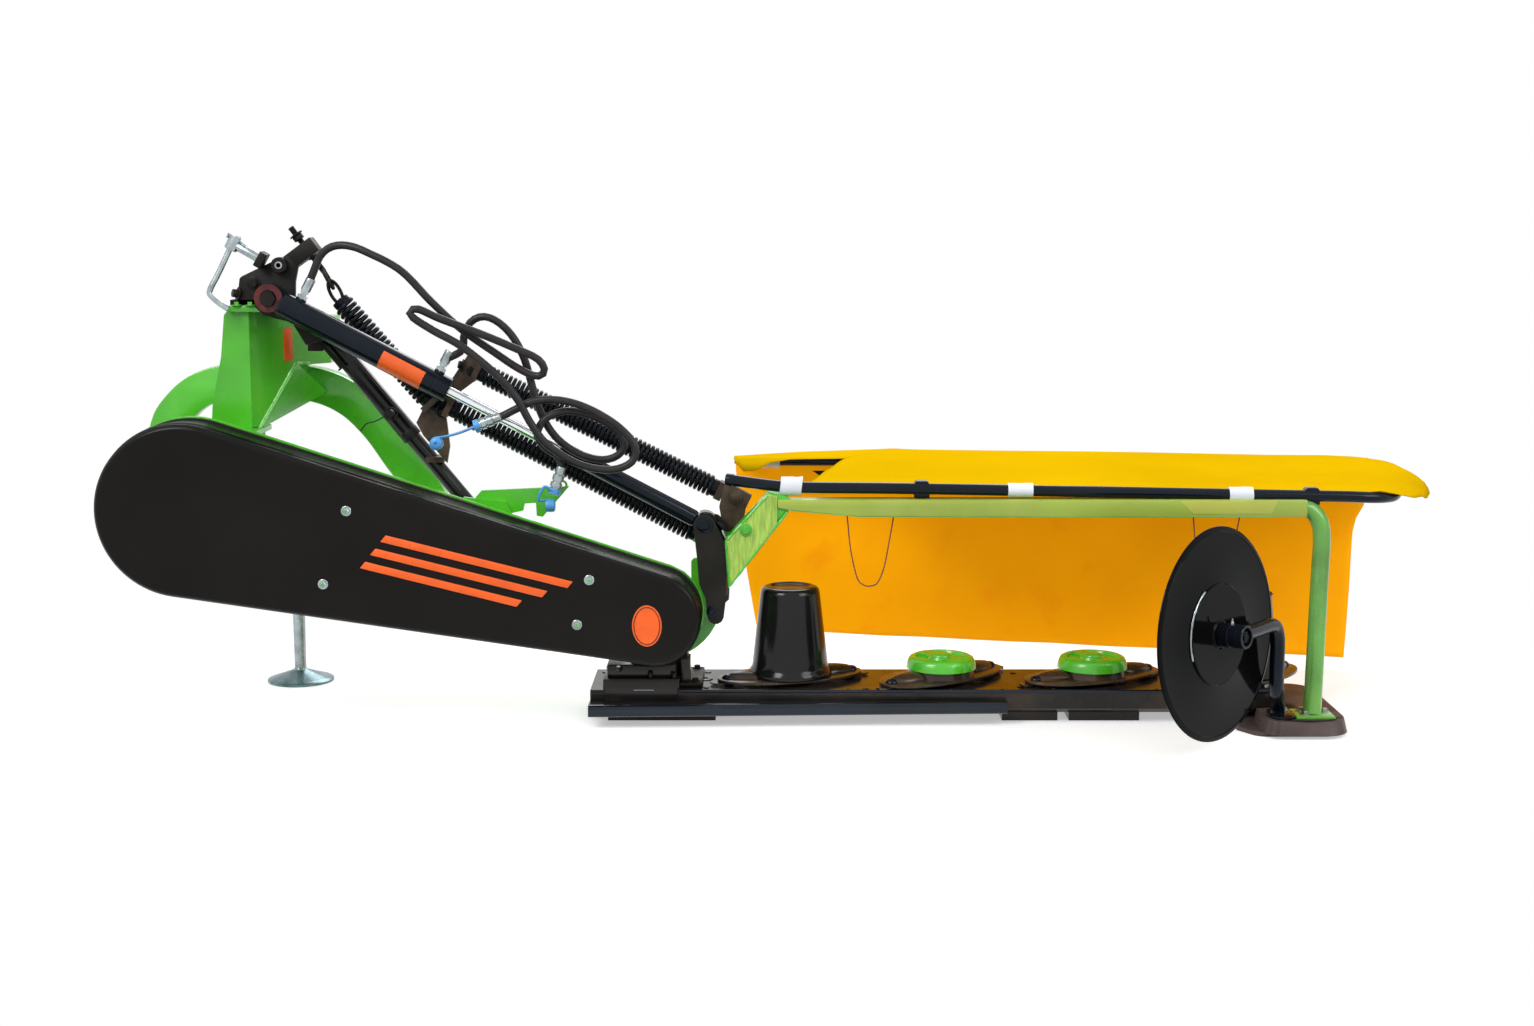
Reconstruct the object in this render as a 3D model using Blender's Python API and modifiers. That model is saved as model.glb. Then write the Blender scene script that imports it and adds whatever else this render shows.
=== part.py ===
"""A mounted disc mower with a belt drive, in metres, +Z up, +Y the way it travels.

The origin is the bottom centre of the parking stand's foot. The machine stands on that
foot at its hitch end and on the skids and shoe of its cutter bar at the other end.
"""
import math

import bmesh
import bpy
from mathutils import Matrix, Vector

# Gaps between pieces that touch or turn in each other
GAP = 0.0003
PLAY = 0.0006

# Parking stand, whose foot is the origin
STAND_LEG_R = 0.017
STAND_FOOT_R = 0.095
STAND_TOP = 0.60
STAND_SLEEVE_R = 0.026
STAND_SLEEVE_Z = (0.40, 0.56)
STAND_STEPS = 16

# Headstock, the part that the tractor carries
BOW_WIDTH = 0.10
BOW_Y = (0.025, 0.085)
BOW_FOOT_Z = (0.40, 0.52)
HITCH_HALF_SPAN = 0.395
HITCH_CENTRE_X = 0.0
HITCH_PIN_R = 0.0143
HITCH_PIN_Z = 0.46
HITCH_PIN_LENGTH = 0.115
HITCH_COLLAR_R = 0.024
HITCH_COLLAR_T = 0.012
TOWER_FACE_X = (-0.142, -0.035)
TOWER_BACK_X = 0.14
TOWER_Y = (-0.33, 0.028)
TOWER_Z = (0.775, 1.107)
TOWER_WALL = 0.012

# Kingpin, the upright axis that the whole mower swings back about
KINGPIN_XY = (-0.045, -0.265)
KINGPIN_R = 0.018
KINGPIN_HEAD_R = 0.029
KINGPIN_HEAD_T = 0.018
SWING_PLATE_T = 0.014

# Swing bracket's near cheek, the spring adjuster it holds and the top-link pin
CHEEK_Y = (-0.3455, -0.330)
ADJUSTER_TOP = (0.079, 1.312)
ADJUSTER_DIRECTION = (0.59, -0.81)
TOP_PIN_START = (-0.060, 1.272)
TOP_PIN_DIRECTION = (0.87, -0.50)
TOP_PIN_R = 0.0125
TOP_PIN_Y = -0.372

# Planes of the machine, from the covered rear side forward
COVER_FACE_Y = -0.658
COVER_DEPTH = 0.14
BACKPLATE_T = 0.008
BEAM_DEPTH = 0.0795
CYLINDER_Y = -0.38
SPRING_Y = -0.295
STRUT_Y = -0.258
BAR_Y = -0.385

# Belt drive, whose small pulley turns on the hinge that the cutter bar lifts about
PULLEY_X = -0.149
PULLEY_Z = 0.594
PULLEY_R = 0.19
HINGE_X = 1.064
HINGE_Z = 0.309
SMALL_PULLEY_R = 0.0925
PULLEY_FLANGE = 0.008
PULLEY_WIDTH = 0.066
PULLEY_MID_Y = -0.592
BELT_WIDTH = 0.05
BELT_THICKNESS = 0.010
COVER_BIG_R = 0.229
COVER_SMALL_R = 0.124
COVER_WALL = 0.004
COVER_SCREWS = ((0.277, 0.597), (0.212, 0.406), (0.899, 0.417), (0.866, 0.299))
COVER_PILLAR_R = 0.009
DRIVE_SHAFT_R = 0.0175
DRIVE_SHAFT_FRONT_Y = -0.27
BEAM_END_R = (0.085, 0.095)
BEAM_HEIGHT = 0.12
BEAM_WALL = 0.010
HINGE_SLEEVE_R = 0.045
DRIVEN_SHAFT_R = 0.016
HOOK_PIVOT = (0.612, 0.572)
HOOK_BOLT_R = 0.007

# Gears: every pinion has the same teeth, and each crown wheel is cut to match it
TOOTH = 0.0024
TOOTH_RISE = 0.002
PINION_TEETH = 8
PINION_R = 0.018
PINION_FACE = 0.006
INPUT_CROWN_TEETH = 16
LOWER_CROWN_TEETH = 13
DISC_CROWN_TEETH = 9
CROWN_T = 0.006
UPRIGHT_SHAFT_R = 0.011
BAR_SHAFT_R = 0.010
BAR_SHAFT_Z = 0.043

# Lift: a hydraulic cylinder pulls a long tube whose eye sits in an upright link
LIFT_TOP = (0.036, 1.128)
LIFT_EYE = (1.19, 0.52)
LINK_FOOT = (1.2105, 0.286)
BARREL_R = 0.034
BARREL_BORE_R = 0.026
BARREL_LENGTH = 0.532
ROD_R = 0.0135
ROD_SHOWN = 0.335
ROD_INSIDE = 0.10
LIFT_TUBE_R = 0.0225
LIFT_PIN_R = 0.013
LIFT_EYE_R = 0.030
LINK_CHEEK_T = 0.010
PORT_R = 0.011
PORTS = (0.075, 0.487)
PORT_RISE = 0.062
CYLINDER_HALF = 0.022

# Springs that carry part of the cutter bar's weight
SPRING_R = 0.0245
SPRING_WIRE_R = 0.0048
SPRING_POINTS = 8
UPPER_SPRING = ((0.580, 0.924), (1.221, 0.604))
UPPER_SPRING_CURLS = 11
LOWER_SPRING = ((0.502, 0.826), (1.164, 0.482))
LOWER_SPRING_CURLS = 10
SHORT_SPRING = ((0.205, 1.118), (0.440, 0.846))
SHORT_SPRING_CURLS = 6
SPRING_LUG = (0.016, 0.056)

# Diagonal strut between the swing bracket and the main beam
STRUT_TOP = (0.150, 1.033)
STRUT_STEP = (0.372, 0.759)
STRUT_FOOT = (0.560, 0.528)
STRUT_OUTER_R = 0.027
STRUT_INNER_R = 0.022
STRUT_PIN_R = 0.007

# Cutter bar with four discs
BAR_X = (0.885, 2.706)
BAR_WIDTH = 0.25
BAR_TOP_Z = 0.085
BAR_LID_T = 0.006
BAR_WALL = 0.008
DISC_PITCH = 0.412
FIRST_DISC_X = 1.421
DISC_ANGLES = (18.0, 37.0, 24.0, 40.0)
DISC_LONG_R = 0.205
DISC_SHORT_R = 0.098
DISC_PLATE_T = 0.008
SPINDLE_R = 0.0135
KNIFE_PIVOT_R = 0.175
KNIFE_REACH = 0.050
KNIFE_TAIL = 0.016
KNIFE_WIDTH = 0.040
KNIFE_T = 0.004
KNIFE_PIN_R = 0.0075
KNIFE_HEAD_R = 0.012
KNIFE_HEAD_T = 0.0028
INNER_CONE = (0.080, 0.103, 0.352)
OUTER_CONE = (0.070, 0.090, 0.331)
CONE_STEPS = 18
CAP_R = 0.095
CAP_TOP_Z = 0.158
SHEET = 0.004

# Outer shoe, and the swath disc that trails behind it on a bent bar
SHOE_X = (2.60, 2.872)
SHOE_Y = (-0.655, -0.215)
SHOE_T = 0.0117
SHOE_PAD_Z = 0.045
SHOE_CROWN_X = (2.655, 2.880)
SHOE_CROWN_Y = (-0.690, -0.215)
SHOE_CROWN_SHARE = 0.93
FOOT_PLATE_T = 0.008
SWATH_CENTRE = (2.486, -0.828, 0.310)
SWATH_NORMAL = (0.7333, -0.6782, 0.0483)
SWATH_R = 0.272
SWATH_INNER_R = 0.130
SWATH_AXLE_R = 0.012
SWATH_HUB_R = 0.030
SWATH_HUB_IN = 0.0155
SWATH_HUB_OUT = 0.087
SWATH_NUT_R = 0.0165
SWATH_ARM_R = 0.019
SWATH_ARM_FOOT = (2.700, -0.605)
SWATH_ARM_POST = (2.674, -0.690)

# Guard: a green arm, beam and leg carry a hinged tube frame with a yellow sheet
GUARD_BEAM_X = (1.385, 2.790)
GUARD_BEAM_Z = (0.558, 0.603)
GUARD_BEAM_DEPTH = 0.060
GUARD_TUBE_Y = -0.478
GUARD_TUBE_Z = 0.626
GUARD_TUBE_R = 0.0135
GUARD_FAR_Y = 0.15
GUARD_RIGHT_X = 3.185
GUARD_SADDLES_X = (1.767, 2.650)
SADDLE_SIZE = (0.050, 0.046)
LEG_R = 0.0235
LEG_FOOT = (2.790, -0.612)
TARP_T = 0.004
CURTAIN_T = 0.004
CURTAIN_X = (1.300, 3.080)
CURTAIN_LOW_Z = (0.115, 0.030)
CURTAIN_FOLDS = 5
CURTAIN_FOLD_DEPTH = 0.012

# Hydraulic hoses, from the cylinder's ports to their couplers
HOSE_R = 0.0105
HOSE_STEP = 5.8 * HOSE_R
COUPLER_R = 0.016
COUPLER_LENGTH = 0.060

COLOURS = {
    "green_paint": ((0.13, 0.62, 0.06), 0.35, 0.0),
    "black_paint": ((0.012, 0.012, 0.013), 0.30, 0.0),
    "brown_plate": ((0.060, 0.040, 0.030), 0.50, 0.3),
    "zinc": ((0.62, 0.64, 0.64), 0.35, 0.9),
    "spring_steel": ((0.020, 0.020, 0.021), 0.40, 0.4),
    "gear_steel": ((0.40, 0.40, 0.41), 0.35, 1.0),
    "belt_rubber": ((0.020, 0.020, 0.020), 0.80, 0.0),
    "hose_rubber": ((0.020, 0.020, 0.021), 0.55, 0.0),
    "tarp_yellow": ((0.95, 0.60, 0.010), 0.45, 0.0),
    "curtain_orange": ((0.78, 0.32, 0.004), 0.60, 0.0),
}

BACK_FRONT_Y = COVER_FACE_Y + COVER_DEPTH
BEAM_FRONT_Y = BACK_FRONT_Y + BACKPLATE_T + 2 * GAP
BEAM_BACK_Y = BEAM_FRONT_Y + BEAM_DEPTH
LID_TOP_Z = BAR_TOP_Z + GAP + BAR_LID_T
DISC_Z = LID_TOP_Z + KNIFE_HEAD_T + KNIFE_T + 4 * GAP
LINK_GAP = LIFT_TUBE_R + PLAY
LINK_Y = (CYLINDER_Y - LINK_GAP - LINK_CHEEK_T, CYLINDER_Y + LINK_GAP + LINK_CHEEK_T)

# Gearbox on the bar's inner end, and the hinge plate bolted to its outboard wall
GEARBOX_X = (0.985, 1.143)
GEARBOX_Y = (BEAM_BACK_Y + GAP, -0.318)
GEARBOX_Z = (LID_TOP_Z + GAP, 0.392)
GEARBOX_WALL = 0.010
HINGE_PLATE_R = 0.170
HINGE_PLATE_T = 0.012
HINGE_PLATE_Y = (LINK_Y[1] + GAP, LINK_Y[1] + GAP + HINGE_PLATE_T)


def clear_scene():
    """Remove whatever the file holds."""
    for old in list(bpy.data.objects):
        bpy.data.objects.remove(old, do_unlink=True)


def collection(name):
    """A new collection in the scene."""
    made = bpy.data.collections.new(name)
    bpy.context.scene.collection.children.link(made)
    return made


def materials():
    """One Principled material for each finish."""
    made = {}
    for name, (colour, roughness, metallic) in COLOURS.items():
        material = bpy.data.materials.new(name)
        material.use_nodes = True
        shader = material.node_tree.nodes["Principled BSDF"]
        shader.inputs["Base Color"].default_value = (*colour, 1.0)
        shader.inputs["Roughness"].default_value = roughness
        shader.inputs["Metallic"].default_value = metallic
        made[name] = material
    return made


clear_scene()
PARTS = collection("disc_mower")
CUTTERS = collection("cutters")
MATERIALS = materials()
NEXT = {"shape": 0}


def link(data, name=None):
    """Put a mesh or curve in the parts' collection."""
    NEXT["shape"] += 1
    obj = bpy.data.objects.new(name or f"shape_{NEXT['shape']}", data)
    PARTS.objects.link(obj)
    return obj


def from_bmesh(bm):
    """An object that holds this bmesh."""
    mesh = bpy.data.meshes.new("shape")
    bm.to_mesh(mesh)
    bm.free()
    return link(mesh)


def as_mesh(obj, matrix=None):
    """Turn a curve, or an object with modifiers, into a plain welded mesh."""
    bpy.context.view_layer.update()
    evaluated = obj.evaluated_get(bpy.context.evaluated_depsgraph_get())
    mesh = bpy.data.meshes.new_from_object(evaluated)
    bm = bmesh.new()
    bm.from_mesh(mesh)
    bmesh.ops.remove_doubles(bm, verts=bm.verts, dist=0.00002)
    bm.transform(matrix or obj.matrix_world)
    bmesh.ops.recalc_face_normals(bm, faces=bm.faces)
    if bm.calc_volume(signed=True) < 0:
        bmesh.ops.reverse_faces(bm, faces=bm.faces)
    bm.to_mesh(mesh)
    bm.free()
    bpy.data.objects.remove(obj, do_unlink=True)
    return link(mesh)


def box(x, y, z):
    """A box between two limits on each axis."""
    bm = bmesh.new()
    bmesh.ops.create_cube(bm, size=1.0)
    size = Vector((x[1] - x[0], y[1] - y[0], z[1] - z[0]))
    centre = Vector((x[0] + x[1], y[0] + y[1], z[0] + z[1])) / 2
    bm.transform(Matrix.Translation(centre) @ Matrix.Diagonal((*size, 1.0)))
    return from_bmesh(bm)


def turned_to(direction):
    """A rotation that takes +Z to a direction."""
    return Vector(direction).to_track_quat("Z", "Y").to_matrix().to_4x4()


def rod(start, end, radius, sides=16, end_radius=None):
    """A round bar between two points."""
    start = Vector(start)
    end = Vector(end)
    bm = bmesh.new()
    bmesh.ops.create_cone(bm, cap_ends=True, segments=sides, radius1=radius,
                          radius2=radius if end_radius is None else end_radius,
                          depth=(end - start).length)
    bm.transform(Matrix.Translation((start + end) / 2) @ turned_to(end - start))
    return from_bmesh(bm)


def slanted_box(centre, direction, size):
    """A box whose first side runs along a direction in the XZ plane."""
    along = Vector((direction[0], 0.0, direction[1])).normalized()
    across = Vector((0.0, 1.0, 0.0))
    frame = Matrix((along, across, along.cross(across))).transposed().to_4x4()
    bm = bmesh.new()
    bmesh.ops.create_cube(bm, size=1.0)
    bm.transform(Matrix.Translation(centre) @ frame @ Matrix.Diagonal((*size, 1.0)))
    return from_bmesh(bm)


def plate(outline, axis, low, high):
    """A flat outline, as thick as from low to high along an axis."""
    frames = {
        "X": Matrix(((0, 0, 1, 0), (1, 0, 0, 0), (0, 1, 0, 0), (0, 0, 0, 1))),
        "Y": Matrix(((1, 0, 0, 0), (0, 0, 1, 0), (0, 1, 0, 0), (0, 0, 0, 1))),
        "Z": Matrix.Identity(4),
    }
    bm = bmesh.new()
    lower = [bm.verts.new((across, up, low)) for across, up in outline]
    upper = [bm.verts.new((across, up, high)) for across, up in outline]
    bm.faces.new(lower)
    bm.faces.new(upper[::-1])
    for i in range(len(outline)):
        after = (i + 1) % len(outline)
        bm.faces.new((lower[i], upper[i], upper[after], lower[after]))
    bm.transform(frames[axis])
    bmesh.ops.recalc_face_normals(bm, faces=bm.faces)
    if bm.calc_volume(signed=True) < 0:
        bmesh.ops.reverse_faces(bm, faces=bm.faces)
    return from_bmesh(bm)


def tube(points, radius, resolution=2):
    """A round tube along points."""
    curve = bpy.data.curves.new("tube", "CURVE")
    curve.dimensions = "3D"
    curve.bevel_depth = radius
    curve.bevel_resolution = resolution
    curve.use_fill_caps = True
    spline = curve.splines.new("POLY")
    spline.points.add(len(points) - 1)
    for point, place in zip(spline.points, points):
        point.co = (*place, 1.0)
    return as_mesh(link(curve))


def turned(profile, place, direction, steps=24):
    """A profile of (radius, height) from its top to its bottom, turned about an axis."""
    mesh = bpy.data.meshes.new("profile")
    vertices = [(radius, 0.0, height) for radius, height in profile]
    edges = [(i, i + 1) for i in range(len(vertices) - 1)]
    if profile[0][0] > 0 and profile[-1][0] > 0:
        edges.append((len(vertices) - 1, 0))
    mesh.from_pydata(vertices, edges, [])
    obj = link(mesh)
    obj.matrix_world = Matrix.Translation(place) @ turned_to(direction)
    screw = obj.modifiers.new("turn", "SCREW")
    screw.steps = steps
    screw.render_steps = steps
    screw.use_merge_vertices = True
    screw.merge_threshold = 0.00001
    return as_mesh(obj)


def combine(obj, other, operation):
    """Join another shape to this one, or cut it out."""
    modifier = obj.modifiers.new(operation.lower(), "BOOLEAN")
    modifier.operation = operation
    modifier.solver = "EXACT"
    modifier.object = other
    PARTS.objects.unlink(other)
    CUTTERS.objects.link(other)
    other.hide_render = True
    other.display_type = "WIRE"
    return obj


def join(obj, *others):
    """Join shapes into one body."""
    for other in others:
        combine(obj, other, "UNION")
    return obj


def cut(obj, *others):
    """Cut shapes out of a body."""
    for other in others:
        combine(obj, other, "DIFFERENCE")
    return obj


def arc(centre, radius, start, end, steps):
    """Points along an arc, in degrees."""
    points = []
    for i in range(steps + 1):
        angle = math.radians(start + (end - start) * i / steps)
        points.append((centre[0] + radius * math.cos(angle),
                       centre[1] + radius * math.sin(angle)))
    return points


def smooth(points, per_span):
    """A Catmull-Rom curve through points of any dimension."""
    vectors = [Vector(point) for point in points]
    ends = [2 * vectors[0] - vectors[1], *vectors, 2 * vectors[-1] - vectors[-2]]
    result = []
    for i in range(1, len(ends) - 2):
        a, b, c, d = ends[i - 1:i + 3]
        for step in range(per_span):
            t = step / per_span
            result.append(0.5 * (2 * b + (c - a) * t + (2 * a - 5 * b + 4 * c - d) * t * t
                                 + (3 * b - a - 3 * c + d) * t ** 3))
    result.append(vectors[-1])
    return result


def evenly(points, spacing):
    """Points a steady distance apart along a fine curve."""
    lengths = [0.0]
    for before, after in zip(points, points[1:]):
        lengths.append(lengths[-1] + (after - before).length)
    count = max(2, round(lengths[-1] / spacing))
    result = []
    index = 0
    for step in range(count + 1):
        want = lengths[-1] * step / count
        while index < len(points) - 2 and lengths[index + 1] < want:
            index += 1
        span = lengths[index + 1] - lengths[index]
        share = 0.0 if span == 0 else (want - lengths[index]) / span
        result.append(points[index].lerp(points[index + 1], min(1.0, share)))
    return result


def ribbon(points, width):
    """The outline of a band of steady width along a flat curve."""
    left = []
    right = []
    for i, point in enumerate(points):
        along = (points[min(i + 1, len(points) - 1)] - points[max(i - 1, 0)]).normalized()
        side = Vector((-along[1], along[0])) * width / 2
        left.append(tuple(point + side))
        right.append(tuple(point - side))
    return left + right[::-1]


def teardrop(grow=0.0, big_steps=18, small_steps=10):
    """The belt cover's outline, two arcs joined by their tangents."""
    big = COVER_BIG_R + grow
    small = COVER_SMALL_R + grow
    return two_circles(big, small, big_steps, small_steps)


def two_circles(big, small, big_steps=22, small_steps=14):
    """An outline round the two pulley axes, with its own radius at each."""
    run = HINGE_X - PULLEY_X
    rise = HINGE_Z - PULLEY_Z
    lean = math.degrees(math.atan2(rise, run))
    spread = math.degrees(math.acos((big - small) / math.hypot(run, rise)))
    left = arc((PULLEY_X, PULLEY_Z), big, lean + spread, lean + 360 - spread, big_steps)
    right = arc((HINGE_X, HINGE_Z), small, lean - spread, lean + spread, small_steps)
    return left + right


def at_y(point, y):
    """A point of the XZ plane, at a depth."""
    return Vector((point[0], y, point[1]))


def along(start, end, distance):
    """The point at a distance from start towards end, in the XZ plane."""
    start = Vector(start)
    end = Vector(end)
    return tuple(start + (end - start).normalized() * distance)


EMPTIES = {}


def pivot(name, place, parent=None):
    """An empty on a joint's axis, which its moving pieces hang from."""
    empty = bpy.data.objects.new(name, None)
    empty.empty_display_size = 0.05
    PARTS.objects.link(empty)
    EMPTIES[name] = (empty, Vector(place))
    empty.location = place
    if parent:
        holder, at = EMPTIES[parent]
        empty.parent = holder
        empty.location = Vector(place) - at
    return empty


def finish(obj, name, material, holder="headstock_frame", angle=35):
    """Name a piece, give it its material and hang it on its pivot."""
    obj.name = name
    obj.data.name = name
    obj.data.materials.clear()
    obj.data.materials.append(MATERIALS[material])
    obj.data.shade_smooth()
    obj.data.set_sharp_from_angle(angle=math.radians(angle))
    empty, at = EMPTIES[holder]
    obj.parent = empty
    obj.matrix_parent_inverse = Matrix.Translation(-at)
    return obj


def gear_outline(centre, root, tip):
    """A pinion's outline with straight teeth, one of them along each axis."""
    points = []
    for i in range(PINION_TEETH):
        angle = 2 * math.pi * i / PINION_TEETH
        out = Vector((math.cos(angle), math.sin(angle)))
        side = Vector((-out.y, out.x)) * TOOTH / 2
        for reach, edge in ((root, -side), (tip, -side), (tip, side), (root, side)):
            points.append(tuple(Vector(centre) + out * reach + edge))
    return points


def add_pinion(obj, centre, axis, place):
    """Join a pinion to a shaft along X or Z, at a place on that axis."""
    outline = gear_outline(centre, PINION_R - TOOTH_RISE - 0.0005, PINION_R + TOOTH_RISE)
    return join(obj, plate(outline, axis, place - PINION_FACE / 2, place + PINION_FACE / 2))


def crown_radius(teeth):
    """The middle radius of a crown wheel that runs with the pinion."""
    return PINION_R * teeth / PINION_TEETH


def crown_teeth(centre, facing, teeth, towards):
    """Straight teeth on a crown wheel's face, with a gap between two of them towards a side."""
    bm = bmesh.new()
    up = Vector(facing)
    ahead = Vector(towards)
    frame = Matrix((ahead, up.cross(ahead), up)).transposed().to_4x4()
    height = 2 * TOOTH_RISE + 0.001
    for i in range(teeth):
        turn = Matrix.Rotation(2 * math.pi * (i + 0.5) / teeth, 4, "Z")
        made = bmesh.ops.create_cube(bm, size=1.0)
        place = turn @ Matrix.Translation((crown_radius(teeth), 0.0, height / 2 - 0.001))
        size = Matrix.Diagonal((PINION_FACE + 0.002, TOOTH, height, 1.0))
        whole = Matrix.Translation(centre) @ frame @ place @ size
        bmesh.ops.transform(bm, matrix=whole, verts=made["verts"])
    return from_bmesh(bm)


def add_crown(obj, centre, facing, teeth, towards):
    """Join a crown wheel to a shaft; centre is the middle of its toothed face."""
    back = Vector(centre) - Vector(facing) * CROWN_T
    blank = rod(back, centre, crown_radius(teeth) + PINION_FACE / 2 + 0.002, 14)
    return join(obj, blank, crown_teeth(centre, facing, teeth, towards))


def bow():
    """The box-section bow, its cross tube, its feet and the stand's sleeve."""
    centre_line = [(-0.395, 0.42), (-0.375, 0.70), (-0.325, 0.80), (-0.235, 0.858),
                   (-0.10, 0.870), (0.05, 0.862), (0.155, 0.820), (0.235, 0.745),
                   (0.305, 0.645), (0.375, 0.545), (0.395, 0.42)]
    body = plate(ribbon(smooth(centre_line, 2), BOW_WIDTH), "Y", *BOW_Y)
    foot_half = BOW_WIDTH / 2 + 0.006
    sides = (-1, 1)
    for side in sides:
        x = HITCH_CENTRE_X + side * HITCH_HALF_SPAN
        join(body, box((x - foot_half, x + foot_half), BOW_Y, BOW_FOOT_Z))
    tube_y = (BOW_Y[0] + 0.008, BOW_Y[1] - 0.008)
    join(body, box((-HITCH_HALF_SPAN, HITCH_HALF_SPAN), tube_y, (0.445, 0.505)))
    join(body, rod((0, 0, STAND_SLEEVE_Z[0]), (0, 0, STAND_SLEEVE_Z[1]), STAND_SLEEVE_R, 16))
    join(body, box((-0.018, 0.018), (0.018, tube_y[0] + 0.004), (0.43, 0.53)))
    bore = STAND_LEG_R + PLAY
    cut(body, rod((0, 0, STAND_SLEEVE_Z[0] - 0.01), (0, 0, STAND_SLEEVE_Z[1] + 0.01), bore, 16))
    cut(body, rod((0, 0, 0.48), (0, -0.06, 0.48), 0.0063, 12))
    for side in sides:
        join(body, hitch_pin(side))
    finish(body, "headstock_bow", "green_paint")


def hitch_pin(side):
    """A lower hitch pin with its collar, fast in the bow's foot."""
    half = BOW_WIDTH / 2 + 0.006
    tip = half + HITCH_COLLAR_T + HITCH_PIN_LENGTH
    profile = [(0.0, tip), (HITCH_PIN_R - 0.003, tip), (HITCH_PIN_R, tip - 0.004),
               (HITCH_PIN_R, half + HITCH_COLLAR_T), (HITCH_COLLAR_R, half + HITCH_COLLAR_T),
               (HITCH_COLLAR_R, half - 0.01), (0.0, half - 0.01)]
    place = (HITCH_CENTRE_X + side * HITCH_HALF_SPAN, (BOW_Y[0] + BOW_Y[1]) / 2, HITCH_PIN_Z)
    return turned(profile, place, (side, 0, 0), 12)


def stand():
    """The parking stand's tube and dished foot, and the screw that clamps it."""
    profile = [(0.0, STAND_TOP), (STAND_LEG_R, STAND_TOP), (STAND_LEG_R, 0.034),
               (0.030, 0.028), (0.055, 0.020), (0.083, 0.010), (STAND_FOOT_R, 0.006),
               (STAND_FOOT_R, 0.0), (0.0, 0.0)]
    leg = turned(profile, (0, 0, 0), (0, 0, 1), STAND_STEPS)
    finish(leg, "stand_leg", "zinc", "stand_pivot")
    shank = rod((0, -STAND_LEG_R - GAP, 0.48), (0, -0.055, 0.48), 0.006, 12)
    head = rod((0, -0.055, 0.48), (0, -0.067, 0.48), 0.010, 6)
    handle = rod((-0.035, -0.061, 0.48), (0.035, -0.061, 0.48), 0.004, 8)
    finish(join(shank, head, handle), "stand_clamp_screw", "zinc")


def tower():
    """The bent-plate tower that holds the kingpin in front of the bow."""
    wall = TOWER_WALL
    left, bend = TOWER_FACE_X
    near, far = TOWER_Y
    outer = [(left, near), (bend, near), (TOWER_BACK_X, -0.12), (TOWER_BACK_X, far),
             (left, far)]
    inner = [(left + wall, near + wall), (bend - wall * 0.5, near + wall),
             (TOWER_BACK_X - wall, -0.12 + wall * 0.4), (TOWER_BACK_X - wall, far - wall),
             (left + wall, far - wall)]
    body = plate(outer, "Z", TOWER_Z[0], TOWER_Z[1])
    cut(body, plate(inner, "Z", TOWER_Z[0] + wall, TOWER_Z[1] - wall))
    slope = [(-0.02, TOWER_Z[0] - 0.01), (0.06, 0.935), (0.20, 0.935), (0.20, TOWER_Z[0] - 0.01)]
    cut(body, plate(slope, "Y", near - 0.02, far + 0.02))
    shoulder = [(bend + 0.01, TOWER_Z[1] + 0.01), (bend + 0.02, 1.062), (0.20, 1.062),
                (0.20, TOWER_Z[1] + 0.01)]
    cut(body, plate(shoulder, "Y", -0.20, far + 0.02))
    x, y = KINGPIN_XY
    cut(body, rod((x, y, TOWER_Z[0] - 0.02), (x, y, TOWER_Z[1] + 0.02), KINGPIN_R + GAP, 20))
    cut(body, box((-0.5, 0.5), (BOW_Y[0] - GAP, far + 0.05), (0.5, 1.3)))
    finish(body, "headstock_tower", "green_paint")


def kingpin():
    """The upright pin through the tower and both arms of the swing frame."""
    x, y = KINGPIN_XY
    top = TOWER_Z[1] + 2 * GAP + SWING_PLATE_T + KINGPIN_HEAD_T
    neck = top - KINGPIN_HEAD_T
    bottom = TOWER_Z[0] - 2 * GAP - SWING_PLATE_T
    profile = [(0.0, top), (KINGPIN_HEAD_R * 0.8, top), (KINGPIN_HEAD_R, top - 0.004),
               (KINGPIN_HEAD_R, neck), (KINGPIN_R, neck), (KINGPIN_R, bottom),
               (KINGPIN_HEAD_R, bottom), (KINGPIN_HEAD_R, bottom - 0.018),
               (0.0, bottom - 0.018)]
    finish(turned(profile, (x, y, 0), (0, 0, 1), 16), "kingpin", "zinc")


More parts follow.
